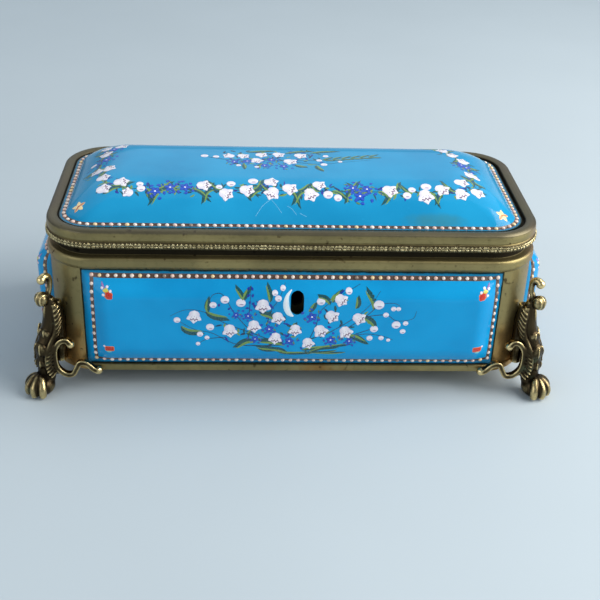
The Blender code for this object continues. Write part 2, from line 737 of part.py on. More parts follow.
def main():
    clear_scene()
    parts = new_collection("enamel_jewelry_box")
    cutters = new_collection("cutters", shown=False)
    brass, bronze, enamel = (surface(*finish) for finish in (BRASS, BRONZE, ENAMEL))
    keyhole = make_keyhole_cutter(cutters)
    make_body(parts, cutters, brass, keyhole)
    for name, half_length, turn in window_layout():
        plaque = make_wall_plaque(name, half_length, turn, parts, enamel)
        if name == "front":
            combine(plaque, keyhole, "DIFFERENCE")
    make_lid_frame(parts, brass)
    make_lid_plaque(parts, enamel)
    for side, sign in (("left", -1), ("right", 1)):
        make_hinge(side, sign * HINGE_SPACING / 2, parts, cutters, brass)
    make_feet(parts, cutters, bronze)
    shade(parts)


main()
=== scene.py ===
"""The enamel jewelry box: aged brass, cast feet and domed plaques with fired-on beads and flowers."""

import math

import bmesh
import bpy
import numpy as np
from mathutils import Matrix, Vector


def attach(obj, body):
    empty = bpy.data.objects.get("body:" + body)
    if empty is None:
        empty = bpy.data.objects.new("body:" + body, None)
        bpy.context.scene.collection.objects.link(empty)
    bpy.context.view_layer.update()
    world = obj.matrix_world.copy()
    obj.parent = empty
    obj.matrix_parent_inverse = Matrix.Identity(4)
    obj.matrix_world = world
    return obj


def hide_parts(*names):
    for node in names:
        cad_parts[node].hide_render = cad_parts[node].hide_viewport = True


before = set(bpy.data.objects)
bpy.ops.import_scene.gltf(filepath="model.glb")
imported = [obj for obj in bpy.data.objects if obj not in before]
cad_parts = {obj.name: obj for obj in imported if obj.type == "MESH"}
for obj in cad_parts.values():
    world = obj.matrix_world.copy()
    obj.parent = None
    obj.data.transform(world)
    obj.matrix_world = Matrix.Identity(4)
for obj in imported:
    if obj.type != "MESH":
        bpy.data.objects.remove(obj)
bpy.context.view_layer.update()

# Camera and light.
# One camera at the photograph's angle, a wide soft light from the right, a fill and a pale floor.
CAMERA_PLACE = Vector((-0.0228, -0.4649, 0.2847))
CAMERA_YAW = 0.0617
CAMERA_PITCH = 0.517
CAMERA_ROLL = 0.0382
CAMERA_LENS = 64.5
CAMERA_SENSOR = 36.0
LIGHT_TARGET = (0.0, 0.0, 0.05)
WORLD_STRENGTH = 0.50


def srgb(red, green, blue):
    """A colour given in the 0 to 255 steps of a screen, as the shader wants it."""
    steps = (value / 255.0 for value in (red, green, blue))
    return tuple(v / 12.92 if v <= 0.04045 else ((v + 0.055) / 1.055) ** 2.4 for v in steps)


def set_camera():
    """The camera, turned by its yaw, pitch and roll."""
    ahead = Vector(
        (
            math.sin(CAMERA_YAW) * math.cos(CAMERA_PITCH),
            math.cos(CAMERA_YAW) * math.cos(CAMERA_PITCH),
            -math.sin(CAMERA_PITCH),
        )
    )
    level = Vector((math.cos(CAMERA_YAW), -math.sin(CAMERA_YAW), 0.0))
    upright = level.cross(ahead)
    right = math.cos(CAMERA_ROLL) * level + math.sin(CAMERA_ROLL) * upright
    top = math.cos(CAMERA_ROLL) * upright - math.sin(CAMERA_ROLL) * level
    camera = bpy.data.objects.new("camera", bpy.data.cameras.new("camera"))
    camera.data.lens = CAMERA_LENS
    camera.data.sensor_width = CAMERA_SENSOR
    camera.data.clip_start = 0.01
    bpy.context.scene.collection.objects.link(camera)
    turned = Matrix((right, top, -ahead)).transposed().to_4x4()
    camera.matrix_world = Matrix.Translation(CAMERA_PLACE) @ turned
    bpy.context.scene.camera = camera


def add_light(name, place, size, power, colour):
    """A soft area light that points at the box."""
    light = bpy.data.objects.new(name, bpy.data.lights.new(name, "AREA"))
    light.data.shape = "RECTANGLE"
    light.data.size, light.data.size_y = size
    light.data.energy = power
    light.data.color = colour
    light.location = place
    light.rotation_euler = (Vector(LIGHT_TARGET) - Vector(place)).to_track_quat("-Z", "Y").to_euler()
    bpy.context.scene.collection.objects.link(light)


set_camera()
bpy.context.scene.view_settings.view_transform = "Standard"
add_light("window_right", (0.85, -0.20, 0.62), (1.0, 1.0), 19.0, (1.0, 0.98, 0.95))
add_light("sky_above", (-0.1, 0.75, 1.0), (2.6, 1.6), 7.2, (0.92, 0.96, 1.0))
add_light("fill_left", (-0.9, -0.7, 0.5), (1.0, 0.8), 3.4, (0.95, 0.97, 1.0))
world = bpy.data.worlds.new("studio")
bpy.context.scene.world = world
world.use_nodes = True
sky = world.node_tree.nodes["Background"]
sky.inputs["Color"].default_value = (*srgb(196, 210, 222), 1.0)
sky.inputs["Strength"].default_value = WORLD_STRENGTH


# Floor.
# A plain pale bluish sheet that the box stands on, bent up far behind it.
FLOOR_PROFILE = ((-1.6, 0.0), (0.9, 0.0), (1.15, 0.03), (1.4, 0.14), (1.6, 0.34), (1.7, 0.6), (1.75, 1.4))
FLOOR_HALF_WIDTH = 2.2


class Socket:
    """A value of a material's node tree, so that shader maths is written as plain expressions."""

    def __init__(self, finish, socket):
        self.finish = finish
        self.socket = socket

    def __add__(self, other):
        return self.finish.math("ADD", self, other)

    def __radd__(self, other):
        return self.finish.math("ADD", other, self)

    def __sub__(self, other):
        return self.finish.math("SUBTRACT", self, other)

    def __rsub__(self, other):
        return self.finish.math("SUBTRACT", other, self)

    def __mul__(self, other):
        return self.finish.math("MULTIPLY", self, other)

    def __rmul__(self, other):
        return self.finish.math("MULTIPLY", other, self)

    def __truediv__(self, other):
        return self.finish.math("DIVIDE", self, other)

    def __rtruediv__(self, other):
        return self.finish.math("DIVIDE", other, self)


class Finish:
    """A material with one Principled shader, whose fixed values are set on its own sockets."""

    def __init__(self, name, **fixed):
        self.material = bpy.data.materials.new(name)
        self.material.use_nodes = True
        self.tree = self.material.node_tree
        self.shader = self.tree.nodes["Principled BSDF"]
        for socket, value in fixed.items():
            self.shader.inputs[socket.replace("_", " ").title()].default_value = value

    def node(self, kind, settings=None, inputs=None, output=0):
        """Any node: its settings first, then the values or links of its sockets."""
        made = self.tree.nodes.new("ShaderNode" + kind)
        for key, value in (settings or {}).items():
            setattr(made, key, value)
        for key, value in (inputs or {}).items():
            self.feed(made.inputs[key], value)
        return Socket(self, made.outputs[output])

    def feed(self, socket, value):
        """Links a value, or sets a number or a colour."""
        if isinstance(value, Socket):
            self.tree.links.new(value.socket, socket)
        elif socket.type == "RGBA" and len(value) == 3:
            socket.default_value = (*value, 1.0)
        else:
            socket.default_value = value

    def set(self, **values):
        """Feeds the shader's sockets."""
        for socket, value in values.items():
            self.feed(self.shader.inputs[socket.replace("_", " ").title()], value)

    def math(self, operation, first, second):
        """Plain maths on two values."""
        return self.node("Math", {"operation": operation}, {0: first, 1: second})

    def mix(self, share, first, second):
        """A colour between two colours."""
        return self.node("Mix", {"data_type": "RGBA"}, {0: share, 6: first, 7: second}, output=2)

    def place(self):
        """Object coordinates, in metres."""
        return self.node("TexCoord", output="Object")

    def axes(self, vector):
        """The three numbers of a vector."""
        parts = self.node("SeparateXYZ", {}, {0: vector})
        return [Socket(self, parts.socket.node.outputs[index]) for index in range(3)]

    def noise(self, scale, detail=3.0, rough=0.55, vector=None):
        """Cloudy noise from 0 to 1, with this many waves in a metre."""
        inputs = {"Vector": vector or self.place(), "Scale": scale, "Detail": detail, "Roughness": rough}
        return self.node("TexNoise", {}, inputs)

    def between(self, value, low, high):
        """0 below low, 1 above high and a smooth rise between them."""
        settings = {"interpolation_type": "SMOOTHSTEP"}
        return self.node("MapRange", settings, {"Value": value, "From Min": low, "From Max": high})

    def attribute(self, name, output="Fac"):
        """An attribute of the mesh."""
        return self.node("Attribute", {"attribute_name": name}, output=output)

    def bump(self, height, distance, strength=1.0):
        """A normal from a height between 0 and 1 that stands for this many metres."""
        return self.node("Bump", {}, {"Height": height, "Distance": distance, "Strength": strength})


def add_piece(name, mesh, finish=None):
    """An object at the origin for a finished mesh."""
    piece = bpy.data.objects.new(name, mesh)
    bpy.context.scene.collection.objects.link(piece)
    if finish is not None:
        mesh.materials.clear()
        mesh.materials.append(finish.material)
    return piece


def mesh_from(name, points, faces, sharp_deg=None):
    """A smooth-shaded mesh from points and faces, with edges over an angle kept sharp."""
    mesh = bpy.data.meshes.new(name)
    mesh.from_pydata([tuple(point) for point in points], [], faces)
    mesh.validate()
    mesh.shade_smooth()
    if sharp_deg is not None:
        mesh.set_sharp_from_angle(angle=math.radians(sharp_deg))
    return mesh


def make_floor():
    """The floor, rising in a sweep well behind the box."""
    points = [(x, y, z) for y, z in FLOOR_PROFILE for x in (-FLOOR_HALF_WIDTH, FLOOR_HALF_WIDTH)]
    faces = [(2 * row, 2 * row + 1, 2 * row + 3, 2 * row + 2) for row in range(len(FLOOR_PROFILE) - 1)]
    paper = Finish("floor_paper", roughness=0.75)
    cloud = paper.noise(6.0, 2.0)
    paper.set(base_color=paper.mix(cloud, srgb(176, 187, 193), srgb(184, 195, 201)))
    add_piece("floor", mesh_from("floor", points, faces), paper)


make_floor()


# Brass body.
# The walls, posts, rails and floor are sheet brass, soldered into one piece, with a window in each wall.
# A plain moulding follows the same rounded line all the way round; the collar inside it is painted dark as
# shade.
LID_LENGTH = 0.220
LID_WIDTH = 0.100
CORNER_RADIUS = 0.0215
CORNER_STEPS = 24
UNDERSIDE = 0.0105
LOWER_RAIL_TOP = 0.0138
WINDOW_TOP = 0.0625
RAIL_TOP = 0.0681
LID_BOTTOM = 0.0723
WALL_OUTER_INSET = 0.0030
WALL_INNER_INSET = 0.0052
COLLAR_INSET = 0.0040
FLOOR_THICKNESS = 0.0020
SEAT_GAP = 0.0003
WINDOW_HALF_LENGTH = 0.0935
SIDE_WINDOW_HALF_LENGTH = 0.0299166667
KEYHOLE_WIDTH = 0.0058
KEYHOLE_HEIGHT = 0.0112
KEYHOLE_X = 0.0014
KEYHOLE_Z = 0.0497
KEYHOLE_CUT = 0.02
BODY_ROUNDING = 0.00035
SHARP_DEG = 35.0


def rounded_line(half_length, half_width, radius, steps=CORNER_STEPS):
    """Points round a rectangle with round corners, anticlockwise from its right side."""
    points = []
    for corner, (sign_x, sign_y) in enumerate(((1, 1), (-1, 1), (-1, -1), (1, -1))):
        centre_x = sign_x * (half_length - radius)
        centre_y = sign_y * (half_width - radius)
        for step in range(steps + 1):
            angle = math.radians(90.0) * (corner + step / steps)
            points.append((centre_x + radius * math.cos(angle), centre_y + radius * math.sin(angle)))
    return points


def inset_line(inset, steps=CORNER_STEPS):
    """The lid's outer line moved inwards."""
    return rounded_line(LID_LENGTH / 2 - inset, LID_WIDTH / 2 - inset, CORNER_RADIUS - inset, steps)


def round_off(profile, radius, steps=3):
    """A closed profile with each of its corners cut back to a small arc."""
    corners = [Vector(point) for point in profile]
    rounded = []
    for before, corner, after in zip(corners[-1:] + corners[:-1], corners, corners[1:] + corners[:1]):
        back = before - corner
        on = after - corner
        reach = min(radius, back.length * 0.4, on.length * 0.4)
        start = corner + back.normalized() * reach
        end = corner + on.normalized() * reach
        for step in range(steps + 1):
            t = step / steps
            rounded.append((1 - t) ** 2 * start + 2 * t * (1 - t) * corner + t**2 * end)
    return rounded


def put_attribute(mesh, name, values):
    """A number for each point of a mesh."""
    stored = mesh.attributes.new(name, "FLOAT", "POINT")
    stored.data.foreach_set("value", np.asarray(values, np.float32).ravel())


def face_outwards(mesh):
    """Turns the faces of a closed mesh outwards."""
    work = bmesh.new()
    work.from_mesh(mesh)
    bmesh.ops.recalc_face_normals(work, faces=work.faces)
    work.to_mesh(mesh)
    work.free()


def sweep_round(name, profile):
    """A closed ring: a profile of (inset, height) points carried round the lid's outer line."""
    rows = [[(x, y, height) for x, y in inset_line(inset)] for inset, height in profile]
    count = len(rows[0])
    points = [point for row in rows for point in row]
    faces = []
    for row in range(len(rows)):
        below = row * count
        above = (row + 1) % len(rows) * count
        for place in range(count):
            ahead = (place + 1) % count
            faces.append((below + place, above + place, above + ahead, below + ahead))
    mesh = mesh_from(name, points, faces, SHARP_DEG)
    face_outwards(mesh)
    put_attribute(mesh, "inset", np.repeat([inset for inset, _ in profile], count))
    return mesh


def slab_mesh(name, outline, low, high):
    """A flat outline given thickness between two heights."""
    count = len(outline)
    points = [(x, y, z) for z in (low, high) for x, y in outline]
    faces = []
    for place in range(count):
        ahead = (place + 1) % count
        faces.append((place, ahead, count + ahead, count + place))
    faces.append(tuple(reversed(range(count))))
    faces.append(tuple(range(count, 2 * count)))
    return mesh_from(name, points, faces)


def block_mesh(name, low, high):
    """A box between two corners."""
    outline = ((low[0], low[1]), (high[0], low[1]), (high[0], high[1]), (low[0], high[1]))
    return slab_mesh(name, outline, low[2], high[2])


def applied_mesh(piece):
    """What a piece's modifiers make of it, as a plain mesh."""
    bpy.context.view_layer.update()
    return bpy.data.meshes.new_from_object(piece.evaluated_get(bpy.context.evaluated_depsgraph_get()))


def shaped(name, mesh, finish, steps, sharp_deg=SHARP_DEG):
    """A piece after its Booleans, each given as (operation, the other mesh, how that one is placed)."""
    piece = add_piece(name, mesh, finish)
    tools = []
    for operation, other, placing in steps:
        tool = add_piece(name + "_tool", other)
        tool.matrix_world = placing
        change = piece.modifiers.new(operation, "BOOLEAN")
        change.operation = operation
        change.solver = "EXACT"
        change.object = tool
        tools.append(tool)
    result = applied_mesh(piece)
    piece.modifiers.clear()
    piece.data = result
    for tool in tools:
        bpy.data.objects.remove(tool, do_unlink=True)
    result.materials.clear()
    result.materials.append(finish.material)
    result.shade_smooth()
    result.set_sharp_from_angle(angle=math.radians(sharp_deg))
    return piece


def brass_finish(name, collar=None, rim=None, band=None):
    """Old brass: olive gold with brown tarnish in clouds, small dark spots and a soft polish.

    Painted shade makes it nearly black in its deep recesses: between the collar's two heights, and in
    from the rim's inner edge. Above the rim's height, where hands rest, it is browner and greyer, and an
    engraved band is dark in its ground. Beside each foot it is a warm brown: tarnish, painted lighter to
    lift the shade that the foot casts on the post.
    """
    brass = Finish(name, metallic=0.85)
    x, _, z = brass.axes(brass.place())
    from_middle = brass.math("ABSOLUTE", x, 0.0)
    clouds = brass.noise(38.0, 4.0, 0.6)
    fine = brass.noise(420.0, 4.0, 0.65)
    spots = brass.between(brass.noise(260.0, 2.0, 0.4), 0.66, 0.74)
    colour = brass.mix(brass.between(clouds, 0.36, 0.66), srgb(134, 122, 82), srgb(154, 140, 94))
    warm = brass.between(brass.noise(52.0, 3.0, 0.6), 0.50, 0.70) * brass.between(z, 0.050, 0.014)
    colour = brass.mix(warm * 0.75, colour, srgb(150, 106, 52))
    corner = brass.between(from_middle, 0.101, 0.108) * brass.between(brass.noise(30.0, 3.0), 0.35, 0.60)
    colour = brass.mix(corner * 0.55, colour, srgb(150, 118, 94))
    # Painted light: the warm tarnish beside each foot is painted lighter, to lift the foot's shade on the
    # post.
    beside_foot = brass.between(from_middle, 0.090, 0.098) * brass.between(z, 0.040, 0.020)
    colour = brass.mix(beside_foot * 0.75, colour, srgb(206, 158, 92))
    colour = brass.mix(brass.between(fine, 0.50, 0.80) * 0.5, colour, srgb(92, 84, 52))
    colour = brass.mix(spots * 0.8, colour, srgb(58, 44, 26))
    rough = 0.34 + clouds * 0.14 + spots * 0.25
    # Painted shade: this mask paints the collar and the rim's inner wall nearly black, as recesses in shadow.
    dark = 0.0
    if collar is not None:
        low, high = collar
        dark = brass.between(z, low, low + 0.0006) * brass.between(z, high + 0.0006, high)
    if rim is not None:
        inner_edge, height = rim
        worn = brass.between(z + (fine - 0.5) * 0.0006, height, height + 0.0009)
        colour = brass.mix(worn * 0.75, colour, srgb(84, 80, 70))
        # Painted shade on the rim's inner wall, down by the gap round the lid's plaque.
        dark = brass.between(brass.attribute("inset"), inner_edge - 0.0006, inner_edge)
    if band is not None:
        low, high = band
        ground = brass.between(z, low, low + 0.0004) * brass.between(z, high, high - 0.0004)
        colour = brass.mix(ground * 0.80, colour, srgb(50, 40, 26))
    colour = brass.mix(dark * 0.94, colour, srgb(24, 20, 15))
    rough = rough + dark * 0.3
    brass.set(base_color=colour, roughness=rough, normal=brass.bump(fine, 0.00004, 0.6))
    return brass


def window_places():
    """Each wall's name, half the length of its window, how far it is from the middle and its turn."""
    return (
        ("front", WINDOW_HALF_LENGTH, LID_WIDTH / 2, 0.0),
        ("right", SIDE_WINDOW_HALF_LENGTH, LID_LENGTH / 2, 90.0),
        ("back", WINDOW_HALF_LENGTH, LID_WIDTH / 2, 180.0),
        ("left", SIDE_WINDOW_HALF_LENGTH, LID_LENGTH / 2, 270.0),
    )


def keyhole_slot():
    """An upright slot with round ends that passes plaque and wall, and its placing."""
    radius = KEYHOLE_WIDTH / 2
    outline = rounded_line(radius, KEYHOLE_HEIGHT / 2, radius * 0.999, 10)
    slot = slab_mesh("keyhole_slot", outline, -KEYHOLE_CUT, KEYHOLE_CUT)
    in_wall = Matrix.Translation((KEYHOLE_X, -LID_WIDTH / 2, KEYHOLE_Z))
    return slot, in_wall @ Matrix.Rotation(math.pi / 2, 4, "X")


def make_body():
    """The brass body, with its windows and keyhole cut."""
    bead = (RAIL_TOP - WINDOW_TOP) / 5
    collar_top = LID_BOTTOM - SEAT_GAP
    profile = (
        (WALL_INNER_INSET, UNDERSIDE),
        (0.0003, UNDERSIDE),
        (0.0003, LOWER_RAIL_TOP - 0.0003),
        (0.0010, LOWER_RAIL_TOP),
        (0.0010, WINDOW_TOP),
        (0.0005, WINDOW_TOP + bead / 2),
        (0.0, WINDOW_TOP + 1.5 * bead),
        (0.0, RAIL_TOP - 1.2 * bead),
        (bead / 3, RAIL_TOP - bead / 3),
        (bead, RAIL_TOP),
        (COLLAR_INSET, RAIL_TOP),
        (COLLAR_INSET, collar_top),
        (WALL_INNER_INSET, collar_top),
    )
    floor_line = inset_line((WALL_INNER_INSET + COLLAR_INSET) / 2)
    floor_plate = slab_mesh("floor_plate", floor_line, UNDERSIDE, UNDERSIDE + FLOOR_THICKNESS)
    steps = [("UNION", floor_plate, Matrix())]
    for name, half_length, distance, turn in window_places():
        low = (-half_length, -distance - CORNER_RADIUS, LOWER_RAIL_TOP)
        high = (half_length, -distance + WALL_OUTER_INSET, WINDOW_TOP)
        window = block_mesh("window_" + name, low, high)
        steps.append(("DIFFERENCE", window, Matrix.Rotation(math.radians(turn), 4, "Z")))
    steps.append(("DIFFERENCE", *keyhole_slot()))
    finish = brass_finish("aged_brass_body", (RAIL_TOP - 0.0002, collar_top))
    body = shaped("brass_body", sweep_round("brass_body", round_off(profile, BODY_ROUNDING)), finish, steps)
    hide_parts("body_frame")
    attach(body, "box")


make_body()


# Wall plaques.
# Each is a sheet of copper, domed like a pillow and fired with blue enamel, held in its window by the rails.
# A dark line is painted round its edge as the shadow of the gap where the enamel meets the brass, with
# painted shade darkening the blue for a few millimetres inside it.
PLAQUE_INSET = 0.0015
PLAQUE_THICKNESS = 0.0012
FRONT_BULGE = 0.0070
FRONT_SHOULDER = 0.0120
SIDE_BULGE = 0.0090
SIDE_SHOULDER = 0.0105
PLAQUE_HALF_HEIGHT = (WINDOW_TOP - LOWER_RAIL_TOP) / 2 - SEAT_GAP
GRID_STEP = 0.0008
NORMAL_STEP = 0.0002
PLAQUE_SHARP_DEG = 40.0


class Pillow:
    """The outer surface of a wall plaque.

    Along runs to the right of someone who faces it, and up runs up, both from its middle.
    """

    def __init__(self, name, half_length, distance, turn):
        long_wall = turn % 180.0 == 0.0
        self.name = name
        self.half_length = half_length - SEAT_GAP
        self.half_height = PLAQUE_HALF_HEIGHT
        self.bulge = FRONT_BULGE if long_wall else SIDE_BULGE
        self.shoulder = FRONT_SHOULDER if long_wall else SIDE_SHOULDER
        self.face = distance - PLAQUE_INSET
        self.turn = math.radians(turn)

    def inset(self, along, up):
        """How far a place is from the nearest edge."""
        return np.minimum(self.half_length - np.abs(along), self.half_height - np.abs(up))

    def bare(self, along, up):
        """The surface's place, without any lift."""
        share_along = np.clip((self.half_length - np.abs(along)) / self.shoulder, 0.0, 1.0)
        share_up = np.clip((self.half_height - np.abs(up)) / self.shoulder, 0.0, 1.0)
        out = self.face + self.bulge * np.sin(np.pi / 2 * share_along) * np.sin(np.pi / 2 * share_up)
        x = along * math.cos(self.turn) + out * math.sin(self.turn)
        y = along * math.sin(self.turn) - out * math.cos(self.turn)
        return np.stack((x, y, up + (LOWER_RAIL_TOP + WINDOW_TOP) / 2), axis=-1)


def raised(surface, along, up, lift):
    """Points over a surface, raised along its normals, with those normals."""
    along = np.asarray(along, float)
    up = np.asarray(up, float)
    across = surface.bare(along + NORMAL_STEP, up) - surface.bare(along - NORMAL_STEP, up)
    rise = surface.bare(along, up + NORMAL_STEP) - surface.bare(along, up - NORMAL_STEP)
    normal = np.cross(across, rise)
    normal /= np.linalg.norm(normal, axis=-1, keepdims=True)
    return surface.bare(along, up) + normal * np.asarray(lift)[..., None], normal


def sheet_mesh(name, outer, inner, insets, rows, columns):
    """A domed sheet from its outer and inner grids of points, closed round its edge."""
    count = rows * columns
    faces = []
    for row in range(rows - 1):
        for column in range(columns - 1):
            a = row * columns + column
            quad = (a, a + 1, a + columns + 1, a + columns)
            faces.append(quad)
            faces.append(tuple(count + corner for corner in reversed(quad)))
    rim = list(range(columns))
    rim += [row * columns + columns - 1 for row in range(1, rows)]
    rim += [(rows - 1) * columns + column for column in reversed(range(columns - 1))]
    rim += [row * columns for row in reversed(range(1, rows - 1))]
    for a, b in zip(rim, rim[1:] + rim[:1]):
        faces.append((b, a, count + a, count + b))
    points = np.concatenate((outer.reshape(-1, 3), inner.reshape(-1, 3)))
    mesh = mesh_from(name, points, faces, PLAQUE_SHARP_DEG)
    put_attribute(mesh, "inset", np.concatenate((insets.ravel(), insets.ravel())))
    return mesh


def enamel_finish(name, deep, bright, stain=None):
    """Sky blue glass enamel: slightly cloudy, painted shade that darkens it towards its edge and a painted
    shadow line along the edge itself, deep gloss and hairline scratches.

    A stain is given as its middle, as x and y, and its reach from there along each of them.
    """
    enamel = Finish(name)
    enamel.shader.inputs["Specular IOR Level"].default_value = 0.22
    inset = enamel.attribute("inset") * 1000.0
    clouds = enamel.noise(22.0, 3.0)
    grain = enamel.noise(900.0, 2.0)
    blue = enamel.mix(enamel.between(clouds, 0.3, 0.7), deep, bright)
    # Painted shade: the blue turns dark teal over the last few millimetres to the edge.
    edge = enamel.between(inset, 3.2, 0.6)
    blue = enamel.mix(edge * 0.60, blue, srgb(20, 88, 116))
    # Painted shadow: a dark line along the very edge, by the gap to the brass.
    line = enamel.between(inset + (enamel.noise(300.0, 3.0) - 0.5) * 0.8, 0.75, 0.25)
    blue = enamel.mix(line, blue, srgb(20, 44, 44))
    blue = enamel.mix(enamel.between(grain, 0.62, 0.85) * 0.25, blue, srgb(50, 172, 222))
    if stain is not None:
        x, y, _ = enamel.axes(enamel.place())
        middle_x, middle_y, reach_x, reach_y = stain
        beside = (x - middle_x) / reach_x
        before = (y - middle_y) / reach_y
        smear = enamel.between(beside * beside + before * before + enamel.noise(220.0, 3.0) * 0.9, 1.5, 0.4)
        blue = enamel.mix(smear * 0.45, blue, srgb(66, 118, 104))
    drawn_out = {"Vector": enamel.place(), "Rotation": (0.3, 0.2, 0.7), "Scale": (1.0, 14.0, 5.0)}
    scratch_place = enamel.node("Mapping", {}, drawn_out)
    scratch = enamel.between(enamel.noise(150.0, 3.0, 0.6, scratch_place), 0.66, 0.72)
    enamel.set(
        base_color=blue,
        roughness=0.09 + clouds * 0.05 + scratch * 0.12,
        normal=enamel.bump(clouds + grain * 0.04, 0.00012, 0.5),
    )
    return enamel


def cuts_near(half, shoulder):
    """Grid lines across a plaque, fine on its shoulders and a little coarser between them."""
    shoulder_count = math.ceil(shoulder / GRID_STEP)
    near = np.linspace(-half, -half + shoulder, shoulder_count + 1)
    middle_count = math.ceil((half - shoulder) * 2 / (GRID_STEP * 2))
    middle = np.linspace(-half + shoulder, half - shoulder, middle_count + 1)
    return np.concatenate((near, middle[1:-1], -near[::-1]))


WALLS = {window[0]: Pillow(*window) for window in window_places()}
enamel = enamel_finish("blue_enamel_walls", srgb(10, 138, 196), srgb(16, 156, 214))
for name, wall in WALLS.items():
    long_cuts = cuts_near(wall.half_length, wall.shoulder)
    along, up = np.meshgrid(long_cuts, cuts_near(wall.half_height, wall.shoulder))
    outer = wall.bare(along, up)
    inner = outer - np.array([math.sin(wall.turn), -math.cos(wall.turn), 0.0]) * PLAQUE_THICKNESS
    label = name + "_plaque_enamel"
    mesh = sheet_mesh(label, outer, inner, wall.inset(along, up), *along.shape)
    if name == "front":
        piece = shaped(label, mesh, enamel, [("DIFFERENCE", *keyhole_slot())], PLAQUE_SHARP_DEG)
    else:
        piece = add_piece(label, mesh, enamel)
    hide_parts(name + "_plaque")
    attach(piece, "box")


# Lid frame.
# A hollow brass moulding: an engraved leaf band below, a plain band, a round rim and the plaque's ledge.
LID_RIM_TOP = 0.0811
RIM_INNER_INSET = 0.0056
LEDGE_DROP = 0.0026
LEDGE_THICKNESS = 0.0012
LEDGE_REACH = 0.0035
LID_ROUNDING = 0.00025


def make_lid_frame():
    """The brass ring of the lid."""
    ledge_top = LID_RIM_TOP - LEDGE_DROP
    ledge_end = RIM_INNER_INSET + LEDGE_REACH
    profile = (
        (RIM_INNER_INSET + SEAT_GAP, LID_BOTTOM),
        (0.0009, LID_BOTTOM),
        (0.00035, LID_BOTTOM + 0.0003),
        (0.00012, LID_BOTTOM + 0.0009),
        (0.00010, LID_BOTTOM + 0.0019),
        (0.00018, LID_BOTTOM + 0.0029),
        (0.00045, LID_BOTTOM + 0.0035),
        (0.0009, LID_BOTTOM + 0.0038),
        (0.00045, LID_BOTTOM + 0.0042),
        (0.00045, LID_BOTTOM + 0.0060),
        (0.0007, LID_BOTTOM + 0.0077),
        (0.0012, LID_BOTTOM + 0.0082),
        (0.0019, LID_BOTTOM + 0.0086),
        (0.0029, LID_RIM_TOP),
        (0.0042, LID_RIM_TOP - 0.0002),
        (0.0052, LID_RIM_TOP - 0.0006),
        (RIM_INNER_INSET, LID_RIM_TOP - 0.0012),
        (RIM_INNER_INSET, ledge_top),
        (ledge_end, ledge_top),
        (ledge_end, ledge_top - LEDGE_THICKNESS),
        (RIM_INNER_INSET + SEAT_GAP, ledge_top - LEDGE_THICKNESS),
    )
    finish = brass_finish(
        "aged_brass_lid",
        rim=(RIM_INNER_INSET, LID_RIM_TOP - 0.0018),
        band=(LID_BOTTOM + 0.0001, LID_BOTTOM + 0.0038),
    )
    return add_piece("lid_brass", sweep_round("lid_brass", round_off(profile, LID_ROUNDING)), finish)


lid_brass = make_lid_frame()
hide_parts("lid_frame")
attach(lid_brass, "lid")


# Engraved band of the lid.
# A chased leaf scroll runs round the band's face: each leaf is a small raised curl, tarnished in its hollows.
LEAF_PITCH = 0.0036
LEAF_REACH = 0.00135
LEAF_HEIGHT = 0.00040
LEAF_HALF_WIDTHS = (0.00006, 0.0002, 0.00026, 0.00018, 0.00003)
STEM_HALF_WIDTH = 0.00014
STEM_HEIGHT = 0.00017
CURL_FOOT = -0.00006
BAND_HEIGHT = LID_BOTTOM + 0.0019
BAND_INSET = 0.00010


